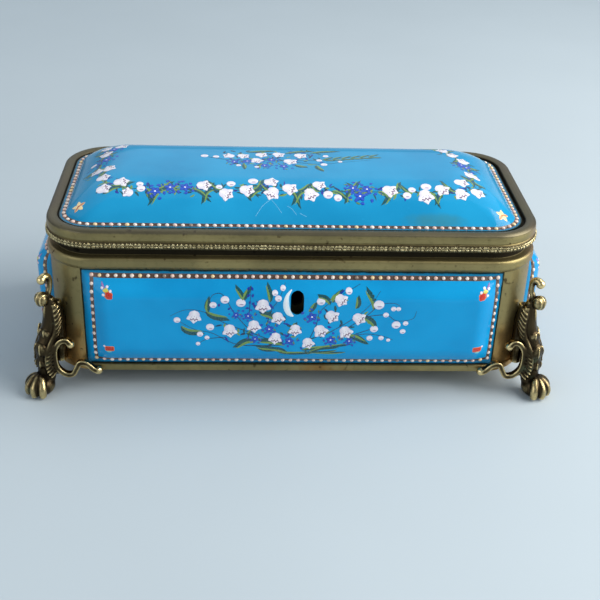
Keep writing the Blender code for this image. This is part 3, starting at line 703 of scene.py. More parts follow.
def repeat_tree(name):
    """Geometry Nodes that set one motif on every point of a row, turned by its along and out attributes."""
    tree = bpy.data.node_groups.new(name, "GeometryNodeTree")
    tree.is_modifier = True
    face = tree.interface
    inputs = {}
    face.new_socket("Geometry", in_out="OUTPUT", socket_type="NodeSocketGeometry")
    for label, kind in (
        ("Row", "Geometry"),
        ("Motif", "Object"),
        ("Size", "Float"),
        ("Unevenness", "Float"),
        ("Seed", "Int"),
        ("Finish", "Material"),
    ):
        made = face.new_socket(label, in_out="INPUT", socket_type="NodeSocket" + kind)
        inputs[label] = made.identifier
    entry = tree.nodes.new("NodeGroupInput")
    leave = tree.nodes.new("NodeGroupOutput")

    def add(kind, **settings):
        node = tree.nodes.new(kind)
        for key, value in settings.items():
            setattr(node, key, value)
        return node

    def join(start, end):
        tree.links.new(start, end)

    turn = add("FunctionNodeAxesToRotation", primary_axis="Z", secondary_axis="X")
    for label, target in (("out", 0), ("along", 1)):
        named = add("GeometryNodeInputNamedAttribute", data_type="FLOAT_VECTOR")
        named.inputs["Name"].default_value = label
        join(named.outputs["Attribute"], turn.inputs[target])
    spread = add("FunctionNodeRandomValue", data_type="FLOAT")
    least = add("ShaderNodeMath", operation="SUBTRACT")
    most = add("ShaderNodeMath", operation="ADD")
    for node in (least, most):
        node.inputs[0].default_value = 1.0
        join(entry.outputs["Unevenness"], node.inputs[1])
    join(least.outputs[0], spread.inputs[2])
    join(most.outputs[0], spread.inputs[3])
    join(entry.outputs["Seed"], spread.inputs["Seed"])
    size = add("ShaderNodeMath", operation="MULTIPLY")
    join(spread.outputs[1], size.inputs[0])
    join(entry.outputs["Size"], size.inputs[1])
    motif = add("GeometryNodeObjectInfo")
    join(entry.outputs["Motif"], motif.inputs["Object"])
    set_down = add("GeometryNodeInstanceOnPoints")
    join(entry.outputs["Row"], set_down.inputs["Points"])
    join(motif.outputs["Geometry"], set_down.inputs["Instance"])
    join(turn.outputs[0], set_down.inputs["Rotation"])
    join(size.outputs[0], set_down.inputs["Scale"])
    tint = add("FunctionNodeRandomValue", data_type="FLOAT")
    other_seed = add("ShaderNodeMath", operation="ADD")
    other_seed.inputs[1].default_value = 17.0
    join(entry.outputs["Seed"], other_seed.inputs[0])
    join(other_seed.outputs[0], tint.inputs["Seed"])
    keep = add("GeometryNodeStoreNamedAttribute", data_type="FLOAT", domain="INSTANCE")
    keep.inputs["Name"].default_value = "tint"
    join(set_down.outputs["Instances"], keep.inputs["Geometry"])
    join(tint.outputs[1], keep.inputs["Value"])
    real = add("GeometryNodeRealizeInstances")
    join(keep.outputs["Geometry"], real.inputs[0])
    coat = add("GeometryNodeSetMaterial")
    join(real.outputs[0], coat.inputs["Geometry"])
    join(entry.outputs["Finish"], coat.inputs["Material"])
    join(coat.outputs["Geometry"], leave.inputs[0])
    return tree, inputs


def repeated(name, places, along, out, motif, finish, size=1.0, unevenness=0.0, seed=1):
    """A motif repeated over a row of places, as one plain mesh."""
    row = bpy.data.meshes.new(name + "_row")
    row.from_pydata([tuple(place) for place in places], [], [])
    for label, vectors in (("along", along), ("out", out)):
        stored = row.attributes.new(label, "FLOAT_VECTOR", "POINT")
        stored.data.foreach_set("vector", np.asarray(vectors, np.float32).ravel())
    piece = add_piece(name, row)
    tree, inputs = repeat_tree(name + "_tree")
    change = piece.modifiers.new("Repeat", "NODES")
    change.node_group = tree
    for label, value in (
        ("Motif", motif),
        ("Size", size),
        ("Unevenness", unevenness),
        ("Seed", seed),
        ("Finish", finish.material),
    ):
        change[inputs[label]] = value
    mesh = applied_mesh(piece)
    piece.modifiers.clear()
    piece.data = mesh
    mesh.shade_smooth()
    bpy.data.objects.remove(motif, do_unlink=True)
    return piece


def run_along(line):
    """How far each point of a line is from its start, along it."""
    return np.concatenate(([0.0], np.cumsum(np.linalg.norm(np.diff(line, axis=0), axis=1))))


def at_run(line, run, at):
    """The places that are this far along a flat line."""
    return np.stack((np.interp(at, run, line[:, 0]), np.interp(at, run, line[:, 1])), axis=-1)


def spaced_round(inset, height, pitch):
    """Evenly spaced places round the inset line, with the direction along it and out of it at each."""
    line = inset_line(inset)
    line = np.array(line + line[:1])
    run = run_along(line)
    count = round(run[-1] / pitch)
    at = np.arange(count) * run[-1] / count
    spots = at_run(line, run, at)
    along = at_run(line, run, at + 1e-4) - spots
    along /= np.maximum(np.linalg.norm(along, axis=1, keepdims=True), 1e-9)
    zero = np.zeros(count)
    places = np.stack((spots[:, 0], spots[:, 1], np.full(count, height)), axis=-1)
    out = np.stack((along[:, 1], -along[:, 0], zero), axis=-1)
    return places, np.stack((along[:, 0], along[:, 1], zero), axis=-1), out


def curl(work, line, widths, height):
    """Adds a raised curl to a bmesh: a ridge along a flat line, sloping to the ground on both sides."""
    rows = []
    for index, (point, width) in enumerate(zip(line, widths)):
        before = line[max(index - 1, 0)]
        after = line[min(index + 1, len(line) - 1)]
        side = Vector((-(after[1] - before[1]), after[0] - before[0])).normalized() * width
        left = work.verts.new((point[0] + side.x, point[1] + side.y, CURL_FOOT))
        top = work.verts.new((point[0], point[1], height * min(width / max(widths), 1.0) ** 0.5))
        right = work.verts.new((point[0] - side.x, point[1] - side.y, CURL_FOOT))
        rows.append((left, top, right))
    for first, second in zip(rows, rows[1:]):
        work.faces.new((first[0], first[1], second[1], second[0]))
        work.faces.new((first[1], first[2], second[2], second[1]))


def made_mesh(work, name):
    """A bmesh turned into a mesh and put away."""
    mesh = bpy.data.meshes.new(name)
    work.to_mesh(mesh)
    work.free()
    return mesh


def leaf_motif():
    """One pitch of the scroll: an S-shaped stem with two leaves of three lobes above it and two below."""
    work = bmesh.new()
    shares = np.linspace(0.0, 1.0, 9)
    stem = [(LEAF_PITCH * (t - 0.5), 0.55 * LEAF_REACH * math.sin(2 * math.pi * t)) for t in shares]
    curl(work, stem, [STEM_HALF_WIDTH] * len(stem), STEM_HEIGHT)
    for sign, start in ((1, -0.30), (-1, 0.18), (1, 0.22), (-1, -0.34)):
        for turn, length in ((0.35, 0.95), (1.05, 0.80), (1.9, 0.60)):
            line = []
            for t in np.linspace(0.0, 1.0, 5):
                reach = LEAF_REACH * length * t
                x = start * LEAF_PITCH + reach * math.cos(turn + 0.5 * t)
                line.append((x, sign * (0.1 * LEAF_REACH + reach * math.sin(turn + 0.5 * t))))
            curl(work, line, LEAF_HALF_WIDTHS, LEAF_HEIGHT)
    return add_piece("leaf_motif", made_mesh(work, "leaf_motif"))


def chased_finish():
    """Chased brass: bright on its ridges, which catch the light, and dark between them."""
    chased = Finish("chased_brass", metallic=1.0)
    fine = chased.noise(900.0, 3.0)
    colour = chased.mix(chased.between(fine, 0.35, 0.65), srgb(150, 136, 96), srgb(226, 212, 166))
    chased.set(base_color=colour, roughness=0.26 + fine * 0.2, normal=chased.bump(fine, 0.00004, 0.6))
    return chased


places, along, out = spaced_round(BAND_INSET, BAND_HEIGHT, LEAF_PITCH)
engraving = repeated("lid_engraving", places, along, out, leaf_motif(), chased_finish(), 1.0, 0.14, 5)
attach(engraving, "lid")


# Lid plaque.
# A deep domed sheet with a narrow flange all round, on the lid's ledge, enamelled like the wall plaques.
LID_PLAQUE_GAP = 0.0010
LID_PLAQUE_SHIFT = -0.0006
LID_DOME_LEAN = -0.0014
LID_PLAQUE_RADIUS = 0.0150
LID_FLANGE = 0.0024
LID_SHOULDER = 0.0260
LID_DOME_RISE = 0.0120
LID_CROWN = 0.00085
LID_DOME_POWER = 2.2
TIGHTEST_RADIUS = 0.0110
LID_STAIN = (0.062, -0.0385, 0.016, 0.0035)
SHOULDER_RINGS = 34
CROWN_START = 0.0300
CROWN_RINGS = 8
HALVINGS = 26
STEEPEST = 1.6


class Dome:
    """The upper surface of the lid's plaque; along runs to the right and up runs to the back.

    It was raised by hand and leans a little to the left.
    """

    half_length = LID_LENGTH / 2 - RIM_INNER_INSET - LID_PLAQUE_GAP
    half_width = LID_WIDTH / 2 - RIM_INNER_INSET - LID_PLAQUE_GAP
    base = LID_RIM_TOP - LEDGE_DROP + SEAT_GAP + PLAQUE_THICKNESS

    def radius(self, inset):
        """The corner radius of the line at this inset."""
        tightest = np.minimum(TIGHTEST_RADIUS, (self.half_width - inset) * 0.9)
        return np.maximum(LID_PLAQUE_RADIUS - inset, tightest)

    def lean(self, inset):
        """How far the line at this inset is pushed to one side."""
        return LID_DOME_LEAN * np.clip((inset - LID_FLANGE) / LID_SHOULDER, 0.0, 1.0)

    def height(self, inset):
        """How high the dome stands at this inset."""
        share = np.clip((inset - LID_FLANGE) / LID_SHOULDER, 0.0, 1.0)
        crown = LID_CROWN * np.sin(np.pi / 2 * inset / self.half_width)
        return self.base + LID_DOME_RISE * (1.0 - (1.0 - share) ** LID_DOME_POWER) + crown

    def inset(self, along, up):
        """How far a place is from the edge, along the dome's own inset lines."""
        along = np.asarray(along, float)
        up = np.abs(np.asarray(up, float))
        low = np.zeros_like(along)
        high = np.full_like(along, self.half_width)
        for _ in range(HALVINGS):
            middle = (low + high) / 2
            radius = self.radius(middle)
            past_x = np.abs(along - self.lean(middle)) - (self.half_length - middle - radius)
            past_y = up - (self.half_width - middle - radius)
            outside = np.hypot(np.maximum(past_x, 0.0), np.maximum(past_y, 0.0))
            beyond = outside + np.minimum(np.maximum(past_x, past_y), 0.0) > radius
            high = np.where(beyond, middle, high)
            low = np.where(beyond, low, middle)
        return low

    def bare(self, along, up):
        """The surface's place, without any lift."""
        return np.stack((along + LID_PLAQUE_SHIFT, up, self.height(self.inset(along, up))), axis=-1)


def make_lid_plaque(dome):
    """The domed plaque of the lid: ever smaller rounded rectangles, above and below, closed at its edge."""
    shoulder = LID_FLANGE + LID_SHOULDER * np.linspace(0.0, 1.0, SHOULDER_RINGS)
    crown = np.linspace(CROWN_START, dome.half_width * 0.95, CROWN_RINGS)
    insets = np.concatenate(((0.0, LID_FLANGE / 2), shoulder, crown))
    upper = []
    lower = []
    for inset in insets:
        line = rounded_line(dome.half_length - inset, dome.half_width - inset, float(dome.radius(inset)), 20)
        height = float(dome.height(inset))
        slope = float(dome.height(inset + 1e-4) - dome.height(inset)) / 1e-4
        drop = PLAQUE_THICKNESS * math.sqrt(1.0 + min(slope, STEEPEST) ** 2)
        shift = LID_PLAQUE_SHIFT + float(dome.lean(inset))
        under = max(height - drop, dome.base - PLAQUE_THICKNESS)
        upper.append([(x + shift, y, height) for x, y in line])
        lower.append([(x + shift, y, under) for x, y in line])
    count = len(upper[0])
    rings = list(reversed(lower)) + upper
    points = [point for ring in rings for point in ring]
    faces = []
    for row in range(len(rings) - 1):
        for place in range(count):
            ahead = (place + 1) % count
            start = row * count
            faces.append((start + place, start + count + place, start + count + ahead, start + ahead))
    last = (len(rings) - 1) * count
    faces.append(tuple(last + place for place in range(count)))
    faces.append(tuple(reversed(range(count))))
    mesh = mesh_from("lid_plaque_enamel", points, faces, 50.0)
    face_outwards(mesh)
    put_attribute(mesh, "inset", np.repeat(np.concatenate((insets[::-1], insets)), count))
    finish = enamel_finish("blue_enamel_lid", srgb(20, 134, 182), srgb(30, 150, 198), LID_STAIN)
    return add_piece("lid_plaque_enamel", mesh, finish)


DOME = Dome()
lid_enamel = make_lid_plaque(DOME)
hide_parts("lid_plaque")
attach(lid_enamel, "lid")


# Jewelled borders.
# A brown line is fired round each plaque, and drops of cream and pink enamel stand on it like beads.
BEAD_PITCH = 0.00353
BEAD_RADIUS = 0.00089
BEAD_FLATNESS = 0.72
BEAD_LIFT = 0.00022
BEAD_UNEVENNESS = 0.10
BEAD_LINE_HALF_WIDTH = 0.00085
BEAD_INSET_ALONG = 0.0034
BEAD_INSET_UP = 0.0031
LID_BEAD_INSET = 0.0022
LID_BEAD_PITCH = 0.00345
LID_BEAD_SIZE = 1.10
FRONT_SHIFT = 0.0014
FRONT_RAISE = 0.0010


def bead_motif():
    """A drop of enamel, a little flattened."""
    work = bmesh.new()
    bmesh.ops.create_icosphere(work, subdivisions=2, radius=BEAD_RADIUS)
    for vertex in work.verts:
        vertex.co.z *= BEAD_FLATNESS
    return add_piece("bead_motif", made_mesh(work, "bead_motif"))


def bead_finish():
    """Cream enamel drops: some pinkish, some yellowish, and a few dull where the glaze has gone."""
    bead = Finish("bead_enamel", coat_weight=0.4, coat_roughness=0.08)
    tint = bead.attribute("tint")
    colour = bead.mix(bead.between(tint, 0.30, 0.55), srgb(232, 214, 200), srgb(222, 182, 164))
    colour = bead.mix(bead.between(tint, 0.72, 0.80), colour, srgb(232, 200, 146))
    colour = bead.mix(bead.between(tint, 0.955, 0.965), colour, srgb(126, 100, 82))
    grain = bead.noise(2200.0, 2.0)
    bead.set(base_color=bead.mix(grain * 0.15, colour, srgb(250, 244, 238)), roughness=0.16 + grain * 0.2)
    return bead


def spaced_loop(corners, pitch):
    """Evenly spaced places round a loop of corners, each corner with a bead of its own."""
    places = []
    for start, end in zip(corners, corners[1:] + corners[:1]):
        start = np.array(start)
        end = np.array(end)
        count = max(1, round(float(np.linalg.norm(end - start)) / pitch))
        places += [start + (end - start) * step / count for step in range(count)]
    return np.array(places)


def evenly_round(line, pitch):
    """Evenly spaced places round a closed line of points."""
    line = np.array(line + line[:1])
    run = run_along(line)
    count = round(run[-1] / pitch)
    return at_run(line, run, np.arange(count) * run[-1] / count)


def set_beads(name, surface, places, body, seed, finish, size=1.0):
    """Beads on a surface at these places."""
    points, normal = raised(surface, places[:, 0], places[:, 1], BEAD_LIFT)
    along = np.cross(np.array([0.31, 0.27, 0.91]), normal)
    beads = repeated(name, points, along, normal, bead_motif(), finish, size, BEAD_UNEVENNESS, seed)
    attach(beads, body)


bead_glaze = bead_finish()
BEAD_LOOPS = {}
for name, wall in WALLS.items():
    shift, raise_by = (FRONT_SHIFT, FRONT_RAISE) if name == "front" else (0.0, 0.0)
    reach = wall.half_length - BEAD_INSET_ALONG
    right = reach + shift * 0.55
    left = -reach + shift
    top = wall.half_height - BEAD_INSET_UP + raise_by
    low = -(wall.half_height - BEAD_INSET_UP) + raise_by
    BEAD_LOOPS[name] = [(left, low), (right, low), (right, top), (left, top)]
    places = spaced_loop(BEAD_LOOPS[name], BEAD_PITCH)
    set_beads(name + "_beads", wall, places, "box", 3 + len(BEAD_LOOPS), bead_glaze)
LID_BEAD_LINE = rounded_line(
    DOME.half_length - LID_BEAD_INSET,
    DOME.half_width - LID_BEAD_INSET,
    LID_PLAQUE_RADIUS - LID_BEAD_INSET,
    12,
)
places = evenly_round(LID_BEAD_LINE, LID_BEAD_PITCH)
set_beads("lid_beads", DOME, places, "lid", 21, bead_glaze, LID_BEAD_SIZE)


# Painted flowers.
# Lily of the valley, forget-me-nots and curling leaves in fired colours, which stand a hair over the blue.
# Every touch of the brush is a strip on the plaque's own surface: a line, its half widths and its colours.
STROKE_ACROSS = 5
BORDER_STEP = 1.2
LIFTS = {
    "line": 0.00002,
    "stem": 0.00004,
    "leaf": 0.00006,
    "blue": 0.00008,
    "petal": 0.00010,
    "mark": 0.00013,
}
WHITE = srgb(240, 236, 240)
PALE = srgb(214, 208, 224)
LILAC = srgb(150, 120, 160)
THROAT = srgb(92, 56, 76)
LEAF_DARK = srgb(10, 76, 82)
LEAF_LIGHT = srgb(112, 146, 70)
STEM_BLUE = srgb(8, 48, 84)
FLOWER_BLUE = srgb(4, 40, 150)
FLOWER_LIGHT = srgb(20, 84, 196)
BORDER_BROWN = srgb(86, 62, 48)
CORNER_RED = srgb(190, 42, 22)
CORNER_ORANGE = srgb(226, 112, 50)
CORNER_YELLOW = srgb(206, 200, 84)
CORNER_GREEN = srgb(120, 196, 190)
CORNER_VIOLET = srgb(120, 84, 160)
CORNER_MAUVE = srgb(168, 130, 190)
BELL_LOBES = (
    (-1.12, 0.50, 0.36),
    (1.12, 0.50, 0.36),
    (-0.42, 0.40, 0.30),
    (0.42, 0.40, 0.30),
    (0.0, 0.50, 0.34),
)
BELL_FOLDS = ((-0.20, 0.30, 0.52), (0.20, 0.30, 0.52), (0.02, 0.26, 0.44))
BELL_THROAT = (
    (-0.24, 0.02, 0.04),
    (-0.12, 0.10, 0.065),
    (-0.04, -0.02, 0.07),
    (0.06, 0.12, 0.07),
    (0.14, 0.0, 0.065),
    (0.25, 0.05, 0.04),
)


class Brush:
    """Gathers brush strokes on one surface into one mesh, with a colour at every point."""

    def __init__(self, surface):
        self.surface = surface
        self.points = []
        self.faces = []
        self.colours = []

    def stroke(self, line, half_widths, side_colour, middle_colour, layer):
        """One strip along a line of (along, up) places in millimetres, thick in its middle."""
        line = np.asarray(line, float) / 1000.0
        widths = np.asarray(half_widths, float)[:, None] / 1000.0
        ahead = np.gradient(line, axis=0)
        ahead /= np.maximum(np.linalg.norm(ahead, axis=1, keepdims=True), 1e-9)
        side = np.stack((-ahead[:, 1], ahead[:, 0]), axis=-1)
        start = len(self.points)
        across = np.linspace(-1.0, 1.0, STROKE_ACROSS)
        spots = line[:, None, :] + (side * widths)[:, None, :] * across[:, None]
        lift = LIFTS[layer] * (1.0 - 0.65 * across**2)
        placed, _ = raised(self.surface, spots[..., 0], spots[..., 1], lift)
        self.points.extend(map(tuple, placed.reshape(-1, 3)))
        beside = np.abs(across)[:, None]
        tints = np.array(side_colour) * beside + np.array(middle_colour) * (1 - beside)
        self.colours.extend(map(tuple, np.tile(tints, (len(line), 1))))
        for row in range(len(line) - 1):
            for column in range(STROKE_ACROSS - 1):
                a = start + row * STROKE_ACROSS + column
                self.faces.append((a + 1, a, a + STROKE_ACROSS, a + STROKE_ACROSS + 1))

    def petal(
        self, base, angle, length, width, side_colour, middle_colour, layer, fullness=0.5, bend=0.0, hook=0.0
    ):
        """A petal or leaf from its base: full towards its far end, bent to one side, its tip hooked back."""
        shares = np.linspace(0.0, 1.0, 8)
        turn = angle + bend * shares + hook * shares**4
        steps = np.stack((np.cos(turn), np.sin(turn)), axis=-1) * length / 7.0
        line = np.array(base) + np.concatenate((np.zeros((1, 2)), np.cumsum(steps[:-1], axis=0)))
        shape = np.sin(np.pi * shares ** (0.5 / max(1e-3, 1.0 - fullness) * 0.8)) ** 0.75
        shape = np.nan_to_num(shape)
        self.stroke(line, width / 2 * shape + 0.02, side_colour, middle_colour, layer)

    def spot(self, centre, radius, side_colour, middle_colour, layer, squash=1.0):
        """A round or oval spot."""
        shares = np.sin(np.linspace(-1.0, 1.0, 8) * np.pi / 2)
        line = [(centre[0] + radius * share, centre[1]) for share in shares]
        widths = radius * squash * np.sqrt(np.maximum(1.0 - shares**2, 0.0)) + 0.01
        self.stroke(line, widths, side_colour, middle_colour, layer)

    def mesh(self, name):
        """The strokes as a mesh whose colours are in its paint attribute."""
        made = mesh_from(name, self.points, self.faces)
        stored = made.attributes.new("paint", "FLOAT_COLOR", "POINT")
        values = np.concatenate((np.array(self.colours), np.ones((len(self.colours), 1))), axis=1)
        stored.data.foreach_set("color", values.astype(np.float32).ravel())
        return made


def smooth_run(points, steps=6):
    """A smooth line through some places."""
    points = [np.array(point, float) for point in points]
    ends = [points[0], *points, points[-1]]
    line = []
    for a, b, c, d in zip(ends, ends[1:], ends[2:], ends[3:]):
        second = 2 * a - 5 * b + 4 * c - d
        third = 3 * b - a - 3 * c + d
        for t in np.linspace(0.0, 1.0, steps, endpoint=False):
            line.append(0.5 * (2 * b + (c - a) * t + second * t**2 + third * t**3))
    line.append(points[-1])
    return np.array(line)


def stem(brush, points, width=0.42):
    """A fine stem that thins towards its end."""
    line = smooth_run(points)
    widths = np.linspace(width, width * 0.45, len(line)) / 2
    brush.stroke(line, widths, STEM_BLUE, STEM_BLUE, "stem")


def leaf(brush, base, angle, length, width, bend):
    """A curling leaf, its tip hooked back: dark green on one side and olive where the light falls."""
    bend = bend * 1.5
    hook = -0.9 * bend
    brush.petal(base, angle, length, width, LEAF_DARK, LEAF_DARK, "stem", bend=bend, hook=hook)
    offset = (base[0] - 0.16 * math.sin(angle) * width, base[1] + 0.16 * math.cos(angle) * width)
    inner = (length * 0.86, width * 0.46, LEAF_LIGHT, LEAF_LIGHT, "leaf")
    brush.petal(offset, angle + 0.05, *inner, bend=bend, hook=hook)


def touches(brush, centres, reach, count, seed):
    """Small dark touches of leaf, stem and bud between the flowers round these places."""
    random = np.random.default_rng(seed)
    for x, y in centres:
        for _ in range(count):
            spot = (x + random.uniform(-reach, reach), y + random.uniform(-reach, reach) * 0.8)
            colour = (LEAF_DARK, FLOWER_BLUE, STEM_BLUE, LEAF_LIGHT)[random.integers(4)]
            length = random.uniform(1.8, 4.2)
            width = random.uniform(0.6, 1.2)
            angle = random.uniform(0.0, 6.28)
            bend = random.uniform(-1.2, 1.2)
            brush.petal(spot, angle, length, width, colour, colour, "stem", bend=bend)


def bell(brush, centre, angle, size):
    """A bell flower seen from its side: angle is where its mouth points, with five lobes that flare out."""
    size = size * 1.14
    ahead = np.array((math.cos(angle), math.sin(angle)))
    side = np.array((-ahead[1], ahead[0]))
    crown = np.array(centre) - ahead * size * 0.50
    mouth = crown + ahead * size * 0.58
    lip = mouth - ahead * size * 0.16
    for turn, reach, width in BELL_LOBES:
        brush.petal(lip, angle + turn, size * reach, size * width, PALE, WHITE, "petal", 0.55)
    shares = np.linspace(0.0, 1.0, 9)
    line = crown + ahead * size * 0.60 * shares[:, None]
    widths = size * 0.32 * np.sqrt(1.0 - (1.0 - np.minimum(shares / 0.5, 1.0)) ** 2) + 0.02
    brush.stroke(line, widths, PALE, WHITE, "petal")
    for across, low, high in BELL_FOLDS:
        fold = []
        for share in (0.6, 0.8, 1.0):
            fold.append(crown + side * size * across * share + ahead * size * (low + (high - low) * share))
        brush.stroke(fold, np.array((0.01, 0.035, 0.01)) * size, PALE, LILAC, "mark")
    throat = [mouth + side * size * across + ahead * size * depth for across, depth, _ in BELL_THROAT]
    brush.stroke(throat, np.array([width for *_, width in BELL_THROAT]) * size, LILAC, THROAT, "mark")


def bud(brush, centre, radius):
    """A round white bud with a lilac shade below it."""
    brush.spot(centre, radius, PALE, WHITE, "petal", 0.95)
    shade = (centre[0] + radius * 0.15, centre[1] - radius * 0.35)
    brush.spot(shade, radius * 0.45, PALE, LILAC, "mark", 0.5)


def forget_me_not(brush, centre, size, turn=0.0):
    """Five small blue petals round a pale eye."""
    for petal in range(5):
        angle = turn + petal * 2 * math.pi / 5
        brush.petal(centre, angle, size * 0.52, size * 0.36, FLOWER_BLUE, FLOWER_LIGHT, "blue", 0.6)
    brush.spot(centre, size * 0.09, WHITE, WHITE, "mark")


def blue_cluster(brush, centre, size, turn):
    """A forget-me-not among smaller blue touches and bits of leaf."""
    forget_me_not(brush, centre, size, turn)
    for step in range(7):
        angle = turn + step * 0.9
        reach = size * (0.75 + 0.12 * (step % 3))
        spot = (centre[0] + reach * math.cos(angle), centre[1] + reach * 0.8 * math.sin(angle))
        brush.petal(spot, angle * 1.7, size * 0.36, size * 0.25, FLOWER_BLUE, FLOWER_LIGHT, "blue")
        if step % 3 == 0:
            brush.petal(spot, angle * 1.3 + 1.0, size * 0.4, size * 0.16, LEAF_DARK, LEAF_LIGHT, "leaf")


def corner_flower(brush, centre, side, upper):
    """The red and yellow ornament of a plaque's corner: a lozenge and spray above, or a small block below."""

    def beside(*places):
        return [(centre[0] + along * side, centre[1] + up) for along, up in places]

    if not upper:
        rim = [(centre[0] + along, centre[1]) for along in np.linspace(-2.1, 2.1, 9)]
        block = [(centre[0] + along, centre[1]) for along in np.linspace(-1.7, 1.7, 9)]
        brush.stroke(rim, (0.9, *(1.3,) * 7, 0.9), CORNER_ORANGE, CORNER_ORANGE, "leaf")
        brush.stroke(block, (0.95,) * 9, CORNER_RED, CORNER_RED, "petal")
        brush.spot(beside((0.3, -1.7))[0], 1.1, CORNER_GREEN, CORNER_GREEN, "leaf", 0.4)
        brush.spot(beside((2.3, 1.2))[0], 0.5, PALE, WHITE, "mark")
        return
    rim = beside((-1.7, -2.1), (-0.9, -1.1), (0.0, 0.0), (1.3, 1.5))
    lozenge = beside((-1.7, -2.1), (-0.9, -1.1), (-0.1, -0.1), (0.6, 0.7))
    tuft = beside((-0.2, 1.3), (0.8, 1.7), (2.0, 1.2))
    violet = beside((1.2, 2.2), (2.3, 3.6), (2.6, 4.8))
    brush.stroke(rim, (0.5, 1.7, 1.8, 0.5), CORNER_ORANGE, CORNER_ORANGE, "leaf")
    brush.stroke(lozenge, (0.3, 1.3, 1.3, 0.3), CORNER_RED, CORNER_RED, "petal")
    brush.stroke(tuft, (0.5, 0.9, 0.4), CORNER_YELLOW, CORNER_YELLOW, "petal")
    for pearl in beside((-1.2, 1.2), (1.9, -0.4), (0.2, 2.9), (2.4, 2.4)):
        brush.spot(pearl, 0.6, PALE, WHITE, "mark")
    brush.stroke(violet, (0.2, 0.5, 0.1), CORNER_VIOLET, CORNER_MAUVE, "mark")


def border_stroke(brush, line):
    """One run of the brown line that the beads stand on."""
    half_widths = np.full(len(line), BEAD_LINE_HALF_WIDTH * 1000)
    brush.stroke(line, half_widths, BORDER_BROWN, BORDER_BROWN, "line")


def round_border(brush, closed_line):
    """The brown line round the lid's plaque."""
    line = evenly_round(closed_line, BORDER_STEP / 1000) * 1000.0
    border_stroke(brush, np.concatenate((line, line[:1])))


def straight_border(brush, corners):
    """The brown line round a wall plaque, each side run past its corners so that they close."""
    past = BEAD_LINE_HALF_WIDTH * 1000
    for start, end in zip(corners, corners[1:] + corners[:1]):
        start = np.array(start) * 1000
        end = np.array(end) * 1000
        length = float(np.linalg.norm(end - start))
        ahead = (end - start) / length
        shares = np.linspace(0.0, 1.0, max(2, round(length / BORDER_STEP)))[:, None]
        border_stroke(brush, start - ahead * past + (end - start + 2 * ahead * past) * shares)


def paint_finish():
    """Fired colours: the brush's own colour, a little uneven, less glossy than the blue."""
    paint = Finish("fired_colours", coat_weight=0.2, coat_roughness=0.1)
    colour = paint.attribute("paint", "Color")
    uneven = paint.noise(1400.0, 3.0)
    paint.set(
        base_color=paint.mix(paint.between(uneven, 0.5, 0.8) * 0.22, colour, srgb(120, 150, 180)),
        roughness=0.2 + uneven * 0.18,
        normal=paint.bump(uneven, 0.00003, 0.5),
    )
    return paint


fired_colours = paint_finish()


def finish_painting(name, brush, body):
    """Turns a brush's strokes into a piece on its plaque."""
    piece = add_piece(name, brush.mesh(name), fired_colours)
    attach(piece, body)


# Front spray.
# The widest of the paintings: a loose bunch that spreads to both sides from under the keyhole.
DOWN = -math.pi / 2
GRASS_WIDTH = 1.3
CHIP_COLOUR = srgb(196, 232, 240)
CHIP_LINE = ((-1.2, 17.6), (-3.0, 15.0), (-3.5, 12.0), (-3.2, 9.0), (-2.0, 6.4), (-0.2, 5.0))
CHIP_HALF_WIDTHS = (0.2, 0.8, 1.3, 1.4, 1.2, 0.3)
front = Brush(WALLS["front"])
straight_border(front, BEAD_LOOPS["front"])
for run in (
    [(-4, -10), (-18, -4), (-30, 1), (-40, 7), (-47.9, 7.8), (-54.5, 4.7)],
    [(-18, -4), (-26, 6), (-31, 15), (-35.6, 15.2), (-37.8, 11)],
    [(-4, -10), (-24, -10), (-36, -4), (-44, -2), (-51.5, 2.7)],
    [(-30, -6), (-38, -7), (-42.4, -9.5)],
    [(-12, 0), (-10, 8), (-7, 13), (-4, 20)],
    [(-20, 4), (-19.4, 11), (-19, 19)],
    [(6, -10), (10, 0), (12, 8), (20, 15), (29, 19.8)],
    [(12, -6), (24, 2), (32, 9), (38, 17.3)],
    [(24, -1), (32, 5), (38, 11), (44, 12), (47, 10.6)],
    [(32, 5), (41, 6), (46, 3), (53, 4), (54.5, 8)],
    [(20, -6), (32, -4), (40, -5), (45, -7)],
    [(28, -4), (34.6, -1.5), (36.1, -1.3)],
):
    stem(front, run)
for base, angle, length, width, bend in (
    ((-37.6, 6.5), 1.85, 8.5, 2.6, -0.7),
    ((-39.0, 7.0), -0.7, 12.0, 3.0, 0.7),
    ((-50.0, -0.5), -0.9, 12.0, 3.0, 1.2),
    ((-17.0, -8.2), 2.9, 11.0, 3.0, 1.2),
    ((-8.5, 3.6), 2.4, 8.0, 3.0, 0.6),
    ((-3.5, -10.0), 2.7, 14.0, 2.8, 0.5),
    ((-2.5, -4.0), 0.6, 7.5, 2.8, 0.8),
    ((-22.0, 12.4), 1.9, 8.0, 2.2, 0.4),
    ((-22.6, 12.4), 1.2, 7.4, 2.4, -0.3),
    ((-10.5, 12.0), 1.5, 8.5, 2.4, 0.5),
    ((16.0, 11.0), 1.9, 8.0, 2.6, 1.2),
    ((17.0, 12.0), 1.2, 7.5, 2.6, -0.6),
    ((35.5, 8.5), 1.5, 11.5, 2.8, 0.9),
    ((27.5, 9.0), 1.1, 6.8, 2.4, 0.7),
    ((36.8, -1.0), 1.9, 10.5, 3.0, 0.9),
    ((6.8, 7.2), 0.9, 6.2, 2.4, 0.2),
    ((24.0, -5.5), 0.1, 11.5, 3.0, -1.0),
    ((4.0, -12.8), 0.25, 17.0, 2.0, -0.35),
    ((-3.0, -14.0), 2.75, 16.0, 2.0, 0.3),
    ((-2.0, -15.0), 2.3, 10.0, 1.8, 0.9),
    ((6.0, -15.2), 0.6, 22.0, 1.8, -0.7),
):
    leaf(front, base, angle, length, width, bend)
